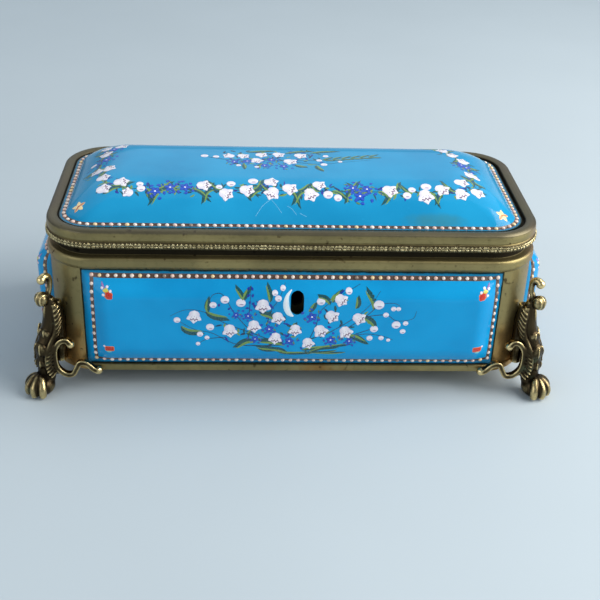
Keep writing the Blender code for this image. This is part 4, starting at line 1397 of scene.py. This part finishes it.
for centre, size, turn in (
    ((-20.2, 5.0), 3.8, 0.2),
    ((-25.5, 5.5), 3.2, 1.0),
    ((-10.8, -1.7), 4.4, 0.5),
    ((-17.0, -6.9), 3.6, 0.9),
    ((-1.7, -7.9), 4.4, 0.1),
    ((8.1, 4.7), 5.0, 0.6),
    ((16.9, -7.2), 4.4, 0.3),
    ((25.3, -7.7), 3.8, 0.8),
):
    blue_cluster(front, centre, size, turn)
for x, y in (
    (-19.6, 18.4),
    (-18.2, 17.0),
    (-19.6, 15.6),
    (-18.4, 14.2),
    (-19.4, 12.6),
    (-18.6, 10.8),
    (-19.8, 9.2),
    (-28, 9.2),
    (-33, 9.6),
):
    front.petal((x, y), x * 3.0, 1.7, 1.0, FLOWER_BLUE, FLOWER_BLUE, "blue")
for base, angle, length, bend in (
    ((-8.0, -13.0), -0.35, 17.0, 0.5),
    ((-6.0, -14.5), -0.10, 15.0, 0.2),
    ((20.0, -12.6), 3.4, 17.0, -0.4),
    ((24.0, -13.6), 3.3, 16.0, -0.3),
    ((-16.0, -11.5), -0.5, 10.0, 0.7),
):
    leaf(front, base, angle, length, GRASS_WIDTH, bend)
FRONT_BELLS = (
    ((-44.0, 4.0), -0.1, 6.4),
    ((-28.2, -3.1), 0.1, 6.6),
    ((-17.5, -0.7), 0.1, 6.2),
    ((-13.7, 9.6), 0.0, 6.8),
    ((-6.9, 3.6), 0.2, 6.2),
    ((-8.0, -6.9), -0.1, 6.0),
    ((0.8, -2.6), 0.0, 6.0),
    ((12.4, -3.0), 0.5, 6.6),
    ((23.7, -3.5), 0.5, 6.4),
    ((6.9, -9.4), 0.3, 5.8),
    ((17.4, 4.8), 0.9, 6.4),
    ((21.0, 13.0), 0.9, 6.0),
    ((29.5, 3.8), 1.0, 6.2),
)
touches(front, [centre for centre, _, _ in FRONT_BELLS[1:]], 4.6, 6, 11)
for centre, tilt, size in FRONT_BELLS:
    bell(front, centre, DOWN + tilt, size)
for centre, radius in (
    ((-51.5, 2.7), 1.5),
    ((-37.0, -0.8), 1.8),
    ((-35.6, 10.5), 1.6),
    ((-30.4, 13.0), 1.9),
    ((-23.4, 11.6), 2.1),
    ((-41.5, -4.5), 1.4),
    ((-38.4, -6.3), 1.1),
    ((-42.4, -9.5), 1.0),
    ((-8.5, 16.2), 1.3),
    ((-7.0, 13.8), 1.5),
    ((-5.0, 18.1), 1.2),
    ((11.8, 12.6), 1.9),
    ((24.0, 17.2), 1.5),
    ((37.5, 11.1), 2.4),
    ((44.2, 9.1), 1.2),
    ((46.4, 9.1), 1.1),
    ((41.0, 6.0), 1.3),
    ((45.9, 0.9), 2.0),
    ((50.1, 1.7), 1.2),
    ((49.1, -2.5), 1.3),
    ((36.1, -1.3), 1.8),
    ((34.4, -6.1), 1.4),
    ((39.6, -6.0), 1.2),
    ((42.9, -7.1), 0.9),
):
    bud(front, centre, radius)
for centre, side, upper in (
    ((-81.3, 15.1), -1, True),
    ((84.0, 15.6), 1, True),
    ((-81.8, -12.5), -1, False),
    ((84.0, -12.3), 1, False),
):
    corner_flower(front, centre, side, upper)
chipped = smooth_run(CHIP_LINE)
stations = np.linspace(0, len(chipped) - 1, len(CHIP_HALF_WIDTHS))
chip_widths = np.interp(np.arange(len(chipped)), stations, CHIP_HALF_WIDTHS)
front.stroke(chipped, chip_widths, CHIP_COLOUR, WHITE, "mark")
finish_painting("front_flowers", front, "box")


# Back and side sprays.
# The walls that are seldom seen carry the same border and corners, and one plain sprig each.


def plain_sprig(brush, scale):
    """A small sprig of three bells, leaves and forget-me-nots round the middle of a plaque."""
    stem(brush, [(-9 * scale, -8), (-2 * scale, -2), (0, 6), (3 * scale, 12)])
    stem(brush, [(9 * scale, -8), (3 * scale, -1), (-1, 5), (-5 * scale, 10)])
    for base, angle, length, bend in (
        ((-6 * scale, -6), 2.4, 9, 0.8),
        ((6 * scale, -6), 0.6, 9, -0.8),
        ((0, 4), 2.1, 8, 0.6),
        ((1, 4), 0.9, 8, -0.6),
    ):
        leaf(brush, base, angle, length, 2.6, bend)
    blue_cluster(brush, (-4.5 * scale, 3.0), 3.8, 0.4)
    blue_cluster(brush, (4.8 * scale, 3.4), 3.8, 1.0)
    for centre, tilt in (((0.0, -1.5), 0.0), ((-8.0 * scale, -1.5), -0.4), ((8.0 * scale, -1.0), 0.4)):
        bell(brush, centre, DOWN + tilt, 6.2)
    for centre in ((3.4 * scale, 10.6), (-5.4 * scale, 9.4), (0.0, -8.4)):
        bud(brush, centre, 1.6)


for name in ("right", "back", "left"):
    wall = WALLS[name]
    brush = Brush(wall)
    straight_border(brush, BEAD_LOOPS[name])
    plain_sprig(brush, 1.6 if name == "back" else 1.0)
    reach = wall.half_length * 1000 - 9.5
    for side in (-1, 1):
        corner_flower(brush, (side * reach, 13.4), side, True)
        corner_flower(brush, (side * reach, -12.6), side, False)
    finish_painting(name + "_flowers", brush, "box")


# Lid garland.
# A garland of bells, forget-me-nots and curling leaves follows the dome's edge, round a bunch in its middle.
lid = Brush(DOME)
round_border(lid, LID_BEAD_LINE)
SHIFT = LID_PLAQUE_SHIFT * 1000
TWIG_HALF_WIDTH = 0.2
STAR_CREAM = srgb(246, 218, 158)
STAR_RUST = srgb(196, 70, 40)
SCRATCH_HALF_WIDTH = 0.06
GARLAND = (
    (-86.0, 24.0),
    (-88.1, 10.9),
    (-86.9, -8.3),
    (-80.8, -23.4),
    (-66.7, -26.2),
    (-40.5, -26.2),
    (-0.3, -26.2),
    (40.0, -26.2),
    (70.1, -25.5),
    (81.3, -22.1),
    (83.1, -5.8),
    (79.7, 8.5),
    (73.8, 21.1),
)


def garland_leaves(brush, path, pitch, length, width):
    """Curling leaves in pairs along a path, to its two sides by turns, every second pair turned back."""
    line = smooth_run(path, 10)
    run = run_along(line)
    at = np.arange(pitch * 0.4, run[-1], pitch)
    spots = at_run(line, run, at)
    ways = at_run(line, run, at + 1) - at_run(line, run, at - 1)
    touches(brush, spots, 3.6, 6, 5)
    for number, (spot, way) in enumerate(zip(spots, ways)):
        heading = math.atan2(way[1], way[0])
        ahead = np.array((math.cos(heading), math.sin(heading)))
        twig = smooth_run([spot - 2 * ahead, spot, spot + 4 * ahead], 4)
        brush.stroke(twig, np.full(len(twig), TWIG_HALF_WIDTH), LEAF_DARK, LEAF_DARK, "stem")
        side = 1 if number % 2 else -1
        reach = length * (1.0, 1.30, 0.85, 1.15, 1.40)[number % 5]
        curl_in = side * (1.7, 1.1, 1.4)[number % 3]
        if number % 4 < 2:
            leaf(brush, spot, heading + side * 0.1, reach, width, curl_in)
        else:
            leaf(brush, spot, heading + math.pi - side * 0.1, reach, width, -curl_in)


garland_leaves(lid, GARLAND, 5.2, 8.8, 2.1)
for x, y, size in (
    (-61.6, -27.4, 4.6),
    (-55.1, -25.0, 4.8),
    (-48.5, -24.9, 4.6),
    (26.2, -24.1, 4.4),
    (29.1, -28.7, 5.0),
    (32.5, -24.7, 4.4),
    (81.8, 0.8, 4.6),
    (79.8, 2.8, 4.2),
    (-86.4, 5.4, 4.6),
    (-84.0, 17.4, 4.4),
):
    blue_cluster(lid, (x - SHIFT, y), size * 1.12, x * 0.7)
for x, y, heading, size in (
    (-84.0, -25.2, 0.3, 6.6),
    (-76.4, -21.5, 0.2, 7.0),
    (-73.8, -28.0, 2.8, 5.0),
    (-39.8, -23.4, 0.0, 6.6),
    (-29.9, -28.5, -0.5, 6.6),
    (-20.7, -26.2, -0.3, 6.8),
    (-9.9, -20.3, 0.2, 6.6),
    (-10.2, -28.0, -2.0, 7.0),
    (-1.6, -25.1, -0.4, 7.0),
    (7.3, -28.5, -1.2, 7.0),
    (11.5, -22.4, -0.4, 6.2),
    (43.2, -25.5, -0.4, 7.2),
    (58.7, -28.7, -1.4, 7.4),
    (66.7, -24.7, -0.8, 7.0),
    (75.1, -27.2, -1.2, 6.8),
    (83.0, -25.0, -0.4, 6.6),
    (76.6, -18.2, -0.2, 7.0),
    (-85.1, -15.8, 0.2, 6.4),
    (-83.5, -6.4, 0.8, 6.2),
    (-89.6, -6.3, 2.6, 6.0),
    (-87.4, 13.0, 1.6, 6.4),
    (-88.0, 21.5, 1.8, 6.0),
    (-80.5, 21.0, 0.4, 6.4),
    (82.3, -7.5, 1.2, 6.4),
    (81.5, 8.4, 1.4, 6.4),
    (73.4, 20.8, 2.0, 6.4),
    (77.3, 14.6, 1.4, 6.0),
):
    bell(lid, (x - SHIFT, y), heading, size)
for x, y, radius in (
    (-68.5, -23.2, 1.6),
    (-67.8, -25.9, 1.9),
    (-33.5, -24.5, 1.5),
    (-28.2, -22.2, 2.0),
    (-18.4, -20.0, 2.3),
    (14.9, -28.0, 2.2),
    (19.2, -29.6, 1.8),
    (50.2, -28.0, 1.9),
    (52.7, -24.7, 1.7),
    (59.3, -22.5, 2.4),
    (84.9, -10.1, 1.6),
    (-92.2, 4.0, 1.5),
):
    bud(lid, (x - SHIFT, y), radius)
garland_leaves(lid, [(66, 31), (40, 32), (0, 32), (-40, 32), (-68, 31)], 6.4, 7.4, 2.0)
for x in (-42, -34, 30, 38):
    blue_cluster(lid, (x, 31.6), 4.8, x * 0.7)
for x, y, tilt in (
    (-62, 31.0, 0.4),
    (-52, 32.2, -0.2),
    (-25, 31.0, 0.3),
    (-15, 32.4, -0.3),
    (-4, 31.2, 0.1),
    (7, 32.4, 0.3),
    (18, 31.0, -0.2),
    (50, 32.2, 0.2),
    (60, 31.0, -0.4),
):
    bell(lid, (x, y), tilt - DOWN, 6.4)
for centre in ((-57, 34.0), (-20, 34.2), (12, 29.4), (24, 33.6), (55, 34.0)):
    bud(lid, centre, 1.7)
stem(lid, [(-38.4, 6.5), (-28.4, 3.5), (-14.4, 3.5), (1.6, 3.5), (13.6, 4.5), (25.5, 7.5), (39.5, 11.4)], 0.5)
stem(lid, [(1.6, 1.5), (13.6, -0.5), (25.5, 2.5), (37.5, 5.5)], 0.4)
for base, angle, length, width, bend in (
    ((-22.4, -1.5), -1.2, 6.5, 2.2, -0.5),
    ((-14.4, -1.5), -2.0, 6.0, 2.2, 0.6),
    ((1.6, -1.5), -0.9, 7.0, 2.6, 0.9),
    ((11.6, -2.0), -1.5, 8.0, 2.6, 0.7),
    ((-2.4, 11.9), 0.5, 15.0, 2.4, -0.5),
    ((9.6, 12.9), 0.4, 15.0, 2.4, -0.4),
    ((-20.4, 12.9), 0.3, 14.0, 2.4, -0.3),
):
    leaf(lid, base, angle, length, width, bend)
for step in range(6):
    for side in (-1, 1):
        leaf(lid, (15.0 + 4.4 * step, 4.6 + 0.9 * step), 0.25 + side * 0.5, 6.4, 1.5, -side * 0.3)
touches(lid, [(x, y) for x in range(-30, 13, 6) for y in (1, 7, 13)], 3.6, 3, 9)
for x, y in ((-27.0, 1.0), (-21.0, 1.9), (-9.7, 3.9), (-4.1, -3.7), (-13.0, -2.9)):
    blue_cluster(lid, (x - SHIFT, y), 4.4, x)
for x, y, heading, size in (
    (-30.0, 8.5, 2.8, 5.6),
    (-22.5, 8.0, -0.6, 5.8),
    (-14.0, 9.8, -0.4, 5.8),
    (-16.5, 2.5, -1.2, 6.0),
    (-6.0, 10.2, -0.8, 6.0),
    (-0.6, 1.9, -0.6, 6.6),
    (4.4, 9.3, -0.6, 6.2),
):
    bell(lid, (x - SHIFT, y), heading, size)
for x, y, radius in (
    (-41.0, 7.9, 1.8),
    (-35.6, 7.1, 1.5),
    (-25.0, -3.1, 1.2),
    (-16.6, -4.7, 1.1),
    (12.6, 4.1, 1.4),
    (14.6, -0.9, 1.6),
    (16.0, 9.5, 1.4),
    (22.4, 2.9, 1.1),
):
    bud(lid, (x - SHIFT, y), radius)
for x, y, red in (
    (-94.6, -32.4, srgb(176, 52, 30)),
    (92.6, -34.6, srgb(216, 104, 50)),
    (-94.6, 33.6, STAR_RUST),
    (93.0, 33.6, STAR_RUST),
):
    for petal in range(5):
        angle = petal * 2 * math.pi / 5 + 0.4
        middle = red if petal in (0, 3) else STAR_CREAM
        lid.petal((x - SHIFT, y), angle, 3.0, 1.7, STAR_CREAM, middle, "petal", 0.55)
    lid.spot((x - SHIFT, y), 0.6, red, red, "mark")
for run in (
    [(-16.6, -37.6), (-13.2, -33.3), (-10.4, -31.3)],
    [(-5.2, -36.4), (-7.9, -33.0), (-9.9, -30.8)],
    [(1.3, -37.0), (-0.9, -34.6), (-2.9, -33.6)],
    [(5.7, -37.6), (2.7, -36.4)],
):
    scratch = smooth_run(run)
    half_widths = np.full(len(scratch), SCRATCH_HALF_WIDTH)
    lid.stroke(scratch, half_widths, srgb(110, 186, 228), srgb(150, 208, 236), "stem")
finish_painting("lid_flowers", lid, "lid")


# Cast feet.
# Each foot is one bronze casting, soldered to its post and to the lower rail: an S-shaped leg, leafy at its
# crest and flanks, a lion's paw, a flat scroll along each face and a hook with a ball on top.
FOOT_CENTRE_X = LID_LENGTH / 2 - 0.0200
FOOT_CENTRE_Y = LID_WIDTH / 2 - 0.0217
SPINE_OUT = 0.0222
SPINE_RADIUS = 0.0034
SPINE_LOW = 0.0130
SPINE_HIGH = 0.0440
LEG_STATIONS = (
    (0.0262, 0.0468, 0.0021),
    (0.0255, 0.0440, 0.0028),
    (0.0256, 0.0400, 0.0034),
    (0.0261, 0.0340, 0.0039),
    (0.0276, 0.0290, 0.0041),
    (0.0299, 0.0230, 0.0042),
    (0.0305, 0.0160, 0.0042),
    (0.0304, 0.0100, 0.0042),
    (0.0318, 0.0060, 0.0044),
)
HOOK_STATIONS = (
    (0.0266, 0.0450, 0.0019),
    (0.0264, 0.0485, 0.0015),
    (0.0251, 0.0517, 0.0012),
    (0.0249, 0.0546, 0.0014),
    (0.0258, 0.0570, 0.0017),
    (0.0276, 0.0576, 0.0018),
    (0.0290, 0.0566, 0.0020),
)
TOP_ROLL = (0.0298, 0.0474, 0.0029, 0.0030, 0.0034)
CREST_LOBES = (
    (0.0282, 0.0385, 0.0013, 0.0013, 0.0052),
    (0.0299, 0.0300, 0.0020, 0.0036, 0.0027),
    (0.0326, 0.0228, 0.0024, 0.0042, 0.0040),
    (0.0330, 0.0158, 0.0021, 0.0038, 0.0027),
    (0.0322, 0.0112, 0.0020, 0.0033, 0.0022),
)
FLANK_LEAF = (
    (0.0445, 86.0, 0.0012, 0.0009),
    (0.0410, 92.0, 0.0018, 0.0011),
    (0.0350, 102.0, 0.0022, 0.0011),
    (0.0300, 104.0, 0.0025, 0.0011),
    (0.0260, 94.0, 0.0028, 0.0011),
    (0.0220, 88.0, 0.0030, 0.0011),
    (0.0170, 84.0, 0.0030, 0.0011),
    (0.0130, 86.0, 0.0026, 0.0010),
    (0.0095, 94.0, 0.0015, 0.0009),
)
FLANK_RIB = ((0.0262, 84.0), (0.0215, 76.0), (0.0165, 74.0), (0.0130, 92.0), (0.0105, 118.0), (0.0085, 142.0))
VEIN_COUNT = 17
SCROLL_STATIONS = (
    (0.0096, 0.0236, 0.0258, 0.0012),
    (0.0112, 0.0236, 0.0281, 0.0011),
    (0.0140, 0.0236, 0.0276, 0.0010),
    (0.0164, 0.0236, 0.0238, 0.0010),
    (0.0168, 0.0236, 0.0186, 0.0010),
    (0.0158, 0.0236, 0.0136, 0.0010),
    (0.0128, 0.0236, 0.0105, 0.0010),
    (0.0094, 0.0236, 0.0104, 0.0010),
    (0.0076, 0.0236, 0.0134, 0.0011),
    (0.0058, 0.0236, 0.0164, 0.0012),
    (0.0028, 0.0237, 0.0160, 0.0011),
    (0.0000, 0.0238, 0.0134, 0.0011),
    (-0.0022, 0.0240, 0.0123, 0.0013),
)
SCROLL_HALF_DEPTH = 0.0019
SCROLL_EDGE_RADIUS = 0.00045
VOLUTE_RADII = (0.0020, 0.0023)
SCROLL_BALL_RADIUS = 0.0020
PAW = (0.0336, 0.0043, 0.0058, 0.0058, 0.0050)
TOE_STATIONS = (
    (-0.0002, 0.0088, 0.0014),
    (0.0030, 0.0085, 0.0018),
    (0.0053, 0.0063, 0.0020),
    (0.0063, 0.0038, 0.0020),
    (0.0059, 0.0014, 0.0017),
)
TOE_TURNS_DEG = (-54.0, -18.0, 18.0, 54.0)
CLAW_STATIONS = ((0.0072, 0.0042), (0.0076, 0.0028), (0.0074, 0.0010))
CLAW_RADII = (0.0004, 0.0007, 0.0004)
VEIN_HEIGHTS = (0.0425, 0.0105)
VEIN_RADII = (0.00075, 0.00052)
VEIN_TURN_DEG = 52.0
FLANK_LIFT = 0.0009
RIB_HALVES = (0.00048, 0.0006)
CREASE_RADIUS = 0.00038
ROLL_RIDGE_RADIUS = 0.00042
FOOT_VOXEL = 0.00028
RELIEF_ROUNDS = 60
RELIEF_UNIT = 0.0006
POST_GAP = 0.0007
SIDEWAYS = Vector((0.0, 1.0, 0.0))


def add_egg(work, centre, radii, turn=None, segments=16, rings=10):
    """Adds a sphere or egg to a bmesh."""
    place = Matrix.Translation(centre) @ (turn or Matrix()) @ Matrix.Diagonal((*radii, 1.0))
    bmesh.ops.create_uvsphere(work, u_segments=segments, v_segments=rings, radius=1.0, matrix=place)


def add_bar(work, points, halves, across, segments=14):
    """Adds a bar with filled ends: its section is half a width, half a depth and the way its depth points."""
    points = [Vector(point) for point in points]
    rings = []
    for index, (point, (half_width, half_depth), deep) in enumerate(zip(points, halves, across)):
        ahead = points[min(index + 1, len(points) - 1)] - points[max(index - 1, 0)]
        wide = ahead.cross(deep).normalized()
        ring = []
        for step in range(segments):
            angle = 2 * math.pi * step / segments
            spot = point + wide * half_width * math.cos(angle)
            ring.append(work.verts.new(spot + deep * half_depth * math.sin(angle)))
        rings.append(ring)
    for first, second in zip(rings, rings[1:]):
        for step in range(segments):
            after = (step + 1) % segments
            work.faces.new((first[step], first[after], second[after], second[step]))
    work.faces.new(tuple(reversed(rings[0])))
    work.faces.new(tuple(rings[-1]))


def add_rod(work, points, radii, deep=SIDEWAYS, segments=12):
    """A bar of round section whose line lies in one plane, with that plane's normal given."""
    add_bar(work, points, [(radius, radius) for radius in radii], [deep] * len(points), segments)


def through(stations, steps):
    """A smooth line through the stations."""
    return [tuple(point) for point in smooth_run(stations, steps)]


def on_face(along, out, height, side):
    """A point along and out from one of the corner's two faces, in the foot's own axes."""
    return Vector(((along + out) / math.sqrt(2), side * (out - along) / math.sqrt(2), height))


def leg_at(height, leg):
    """The leg's distance out and its radius at a height."""
    heights = [point[1] for point in reversed(leg)]
    outs = [point[0] for point in reversed(leg)]
    radii = [point[2] for point in reversed(leg)]
    return float(np.interp(height, heights, outs)), float(np.interp(height, heights, radii))


def round_leg(height, turn_deg, side, leg, lift=0.0):
    """A point on the leg at a height and an angle round it, with the way that it faces there."""
    out, radius = leg_at(height, leg)
    away = Vector((math.cos(math.radians(turn_deg)), side * math.sin(math.radians(turn_deg)), 0.0))
    return Vector((out, 0.0, height)) + away * (radius + lift), away


def carve_leg(work, leg):
    """The leg's relief: a leaf with slanting veins and a rib down each flank, and ridged crest lobes."""
    leaf_line = through(FLANK_LEAF, 4)
    heights, turns, halves, _ = zip(*reversed(leaf_line))
    rib_line = through(FLANK_RIB, 4)
    for side in (-1, 1):
        places, facing = zip(*(round_leg(height, turn, side, leg) for height, turn, _, _ in leaf_line))
        add_bar(work, places, [sizes[2:] for sizes in leaf_line], facing)
        for height in np.linspace(*VEIN_HEIGHTS, VEIN_COUNT):
            turn_deg = float(np.interp(height, heights, turns))
            half = float(np.interp(height, heights, halves))
            place, _ = round_leg(height, turn_deg, side, leg, FLANK_LIFT)
            slant = Matrix.Rotation(-side * math.radians(VEIN_TURN_DEG), 4, "X")
            turn = Matrix.Rotation(side * math.radians(turn_deg), 4, "Z") @ slant
            add_egg(work, place, (*VEIN_RADII, half * 1.25), turn, 10, 8)
        places, facing = zip(*(round_leg(height, turn, side, leg, FLANK_LIFT) for height, turn in rib_line))
        add_bar(work, places, [RIB_HALVES] * len(places), facing, 8)
    for out, height, away, sideways, upwards in CREST_LOBES[1:]:
        for share in (-0.45, 0.45):
            line = []
            for rise in np.linspace(-0.75, 0.75, 6):
                room = math.sqrt(1.0 - rise**2)
                line.append((out + away * room * 0.92, sideways * room * share, height + upwards * rise))
            add_rod(work, line, [CREASE_RADIUS] * len(line), segments=8)


def add_paw(work):
    """The paw: a pad, and toes that curl over it down to the ground, each with a claw at its tip."""
    out, height, *radii = PAW
    middle = Vector((out, 0.0, 0.0))
    toe = through(TOE_STATIONS, 4)
    add_egg(work, (out, 0.0, height), radii, None, 24, 16)
    for turn_deg in TOE_TURNS_DEG:
        turn = Matrix.Rotation(math.radians(turn_deg), 3, "Z")
        points = [turn @ Vector((reach, 0.0, rise)) + middle for reach, rise, _ in toe]
        add_rod(work, points, [radius for *_, radius in toe], turn @ SIDEWAYS, 16)
        claw = [turn @ Vector((reach, 0.0, rise)) + middle for reach, rise in CLAW_STATIONS]
        add_rod(work, claw, CLAW_RADII, turn @ SIDEWAYS, 8)


def add_scroll(work, side):
    """The flat bar that curls along one face of the box, with a raised edge, its volute and its ball."""
    scroll = through(SCROLL_STATIONS, 6)
    points = [on_face(along, out, height, side) for along, out, height, _ in scroll]
    outwards = on_face(0.0, 1.0, 0.0, side)
    add_bar(work, points, [(half, SCROLL_HALF_DEPTH) for *_, half in scroll], [outwards] * len(points), 16)
    for share in (-0.75, 0.75):
        edge = []
        for index, point in enumerate(points):
            ahead = points[min(index + 1, len(points) - 1)] - points[max(index - 1, 0)]
            wide = ahead.cross(outwards).normalized()
            edge.append(point + outwards * SCROLL_HALF_DEPTH * 0.82 + wide * scroll[index][3] * share)
        add_rod(work, edge, [SCROLL_EDGE_RADIUS] * len(edge), outwards, 8)
    volute, half_depth = VOLUTE_RADII
    turn = Matrix.Rotation(math.atan2(outwards.y, outwards.x), 4, "Z")
    add_egg(work, points[0], (half_depth, volute, volute), turn)
    add_egg(work, points[-1], (SCROLL_BALL_RADIUS,) * 3)


def add_top(work):
    """The top: a hook that ends in a ball, and under it a leaf that rolls outwards, with ridges over it."""
    hook = through(HOOK_STATIONS, 5)
    add_rod(work, [(out, 0.0, height) for out, height, _ in hook], [radius for *_, radius in hook])
    ball_out, ball_height, ball_radius = HOOK_STATIONS[-1]
    add_egg(work, (ball_out, 0.0, ball_height), (ball_radius * 1.05,) * 3)
    out, height, *radii = TOP_ROLL
    add_egg(work, (out, 0.0, height), radii)
    for share in (-0.62, 0.0, 0.62):
        line = []
        for angle_deg in range(-70, 171, 20):
            angle = math.radians(angle_deg)
            room = math.sqrt(1.0 - share**2) * 0.97
            over = (radii[0] * room * math.cos(angle), radii[1] * share, radii[2] * room * math.sin(angle))
            line.append((out + over[0], over[1], height + over[2]))
        add_rod(work, line, [ROLL_RIDGE_RADIUS] * len(line), segments=8)


def make_casting():
    """One foot in its own axes: +X points out through the box's corner, from under the corner's centre."""
    work = bmesh.new()
    leg = through(LEG_STATIONS, 5)
    add_rod(work, [(out, 0.0, height) for out, height, _ in leg], [radius for *_, radius in leg], segments=20)
    spine = [(SPINE_OUT, 0.0, SPINE_LOW + (SPINE_HIGH - SPINE_LOW) * step / 4) for step in range(5)]
    add_rod(work, spine, (SPINE_RADIUS * 0.7, *(SPINE_RADIUS,) * 3, SPINE_RADIUS * 0.6), segments=16)
    for out, height, *radii in CREST_LOBES:
        add_egg(work, (out, 0.0, height), radii)
    add_top(work)
    add_paw(work)
    for side in (-1, 1):
        add_scroll(work, side)
    carve_leg(work, leg)
    bmesh.ops.recalc_face_normals(work, faces=work.faces)
    casting = add_piece("casting", made_mesh(work, "casting"))
    skin = casting.modifiers.new("Skin", "REMESH")
    skin.mode = "VOXEL"
    skin.voxel_size = FOOT_VOXEL
    soften = casting.modifiers.new("Soften", "SMOOTH")
    soften.factor = 0.5
    soften.iterations = 2
    made = applied_mesh(casting)
    bpy.data.objects.remove(casting, do_unlink=True)
    return made


def read_rows(items, key, width, kind=float):
    """One row of numbers for each of a mesh's items."""
    values = np.empty(len(items) * width, kind)
    items.foreach_get(key, values)
    return values.reshape(-1, width)


def relief_of(mesh):
    """How far each point stands out from a smoothed copy of the mesh, in metres: ridges up, hollows down."""
    count = len(mesh.vertices)
    places = read_rows(mesh.vertices, "co", 3)
    normals = read_rows(mesh.vertices, "normal", 3)
    ends = read_rows(mesh.edges, "vertices", 2, np.int64)
    joined = np.bincount(ends.ravel(), minlength=count)[:, None]
    smooth = places.copy()
    for _ in range(RELIEF_ROUNDS):
        total = np.zeros_like(smooth)
        for axis in range(3):
            total[:, axis] = np.bincount(ends[:, 0], smooth[ends[:, 1], axis], count)
            total[:, axis] += np.bincount(ends[:, 1], smooth[ends[:, 0], axis], count)
        smooth = total / np.maximum(joined, 1)
    return ((places - smooth) * normals).sum(axis=1)


def bronze_finish():
    """Cast bronze: dark brown patina and painted shade in its hollows, golden and polished by touch on its
    ridges.
    """
    bronze = Finish("cast_bronze", metallic=1.0)
    relief = bronze.attribute("relief")
    clouds = bronze.noise(120.0, 4.0, 0.6)
    fine = bronze.noise(900.0, 4.0, 0.65)
    colour = bronze.mix(clouds, srgb(44, 38, 28), srgb(76, 64, 44))
    raised_part = bronze.between(relief + (fine - 0.5) * 0.35, 0.30, 1.05)
    # Patina and painted shade: the hollows of the relief go nearly black.
    hollow = bronze.between(relief + (fine - 0.5) * 0.25, -0.02, -0.60)
    colour = bronze.mix(raised_part * 0.90, colour, srgb(232, 208, 150))
    colour = bronze.mix(hollow * 0.95, colour, srgb(20, 16, 12))
    green = bronze.between(bronze.noise(160.0, 2.0), 0.60, 0.72)
    colour = bronze.mix(green * 0.35, colour, srgb(98, 108, 84))
    bronze.set(
        base_color=colour,
        roughness=0.28 + hollow * 0.4 - raised_part * 0.1 + fine * 0.1,
        normal=bronze.bump(fine, 0.00006, 0.7),
    )
    return bronze


def make_feet():
    """The four castings, turned to their corners and cut back to clear the body."""
    bronze = bronze_finish()
    casting = make_casting()
    rail_room = inset_line(0.0, 12)
    post_room = inset_line(POST_GAP, 12)
    for end, sign_y in (("front", -1), ("back", 1)):
        for side, sign_x in (("left", -1), ("right", 1)):
            name = f"foot_{end}_{side}"
            mesh = casting.copy()
            turn = Matrix.Rotation(math.atan2(sign_y, sign_x), 4, "Z")
            mesh.transform(Matrix.Translation((sign_x * FOOT_CENTRE_X, sign_y * FOOT_CENTRE_Y, 0.0)) @ turn)
            cutters = (
                slab_mesh("rail_room", rail_room, UNDERSIDE - SEAT_GAP, LOWER_RAIL_TOP + SEAT_GAP),
                slab_mesh("post_room", post_room, LOWER_RAIL_TOP, RAIL_TOP),
                block_mesh("ground", (-0.3, -0.3, -0.02), (0.3, 0.3, 0.0)),
            )
            steps = [("DIFFERENCE", cutter, Matrix()) for cutter in cutters]
            foot = shaped(name + "_casting", mesh, bronze, steps, 180.0)
            relief = relief_of(foot.data) / RELIEF_UNIT
            put_attribute(foot.data, "relief", np.clip(relief, -1.5, 1.5))
            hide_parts(name)
            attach(foot, "box")


make_feet()


# Hinges.
# Two butt hinges of plain brass on the back, each with a leaf on the box, a leaf on the lid and a pin.
# The solids of the part itself stay, and get the old brass finish.
hinge_brass = brass_finish("aged_brass_hinges")
for name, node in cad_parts.items():
    if name.startswith("hinge_"):
        node.data.materials.clear()
        node.data.materials.append(hinge_brass.material)
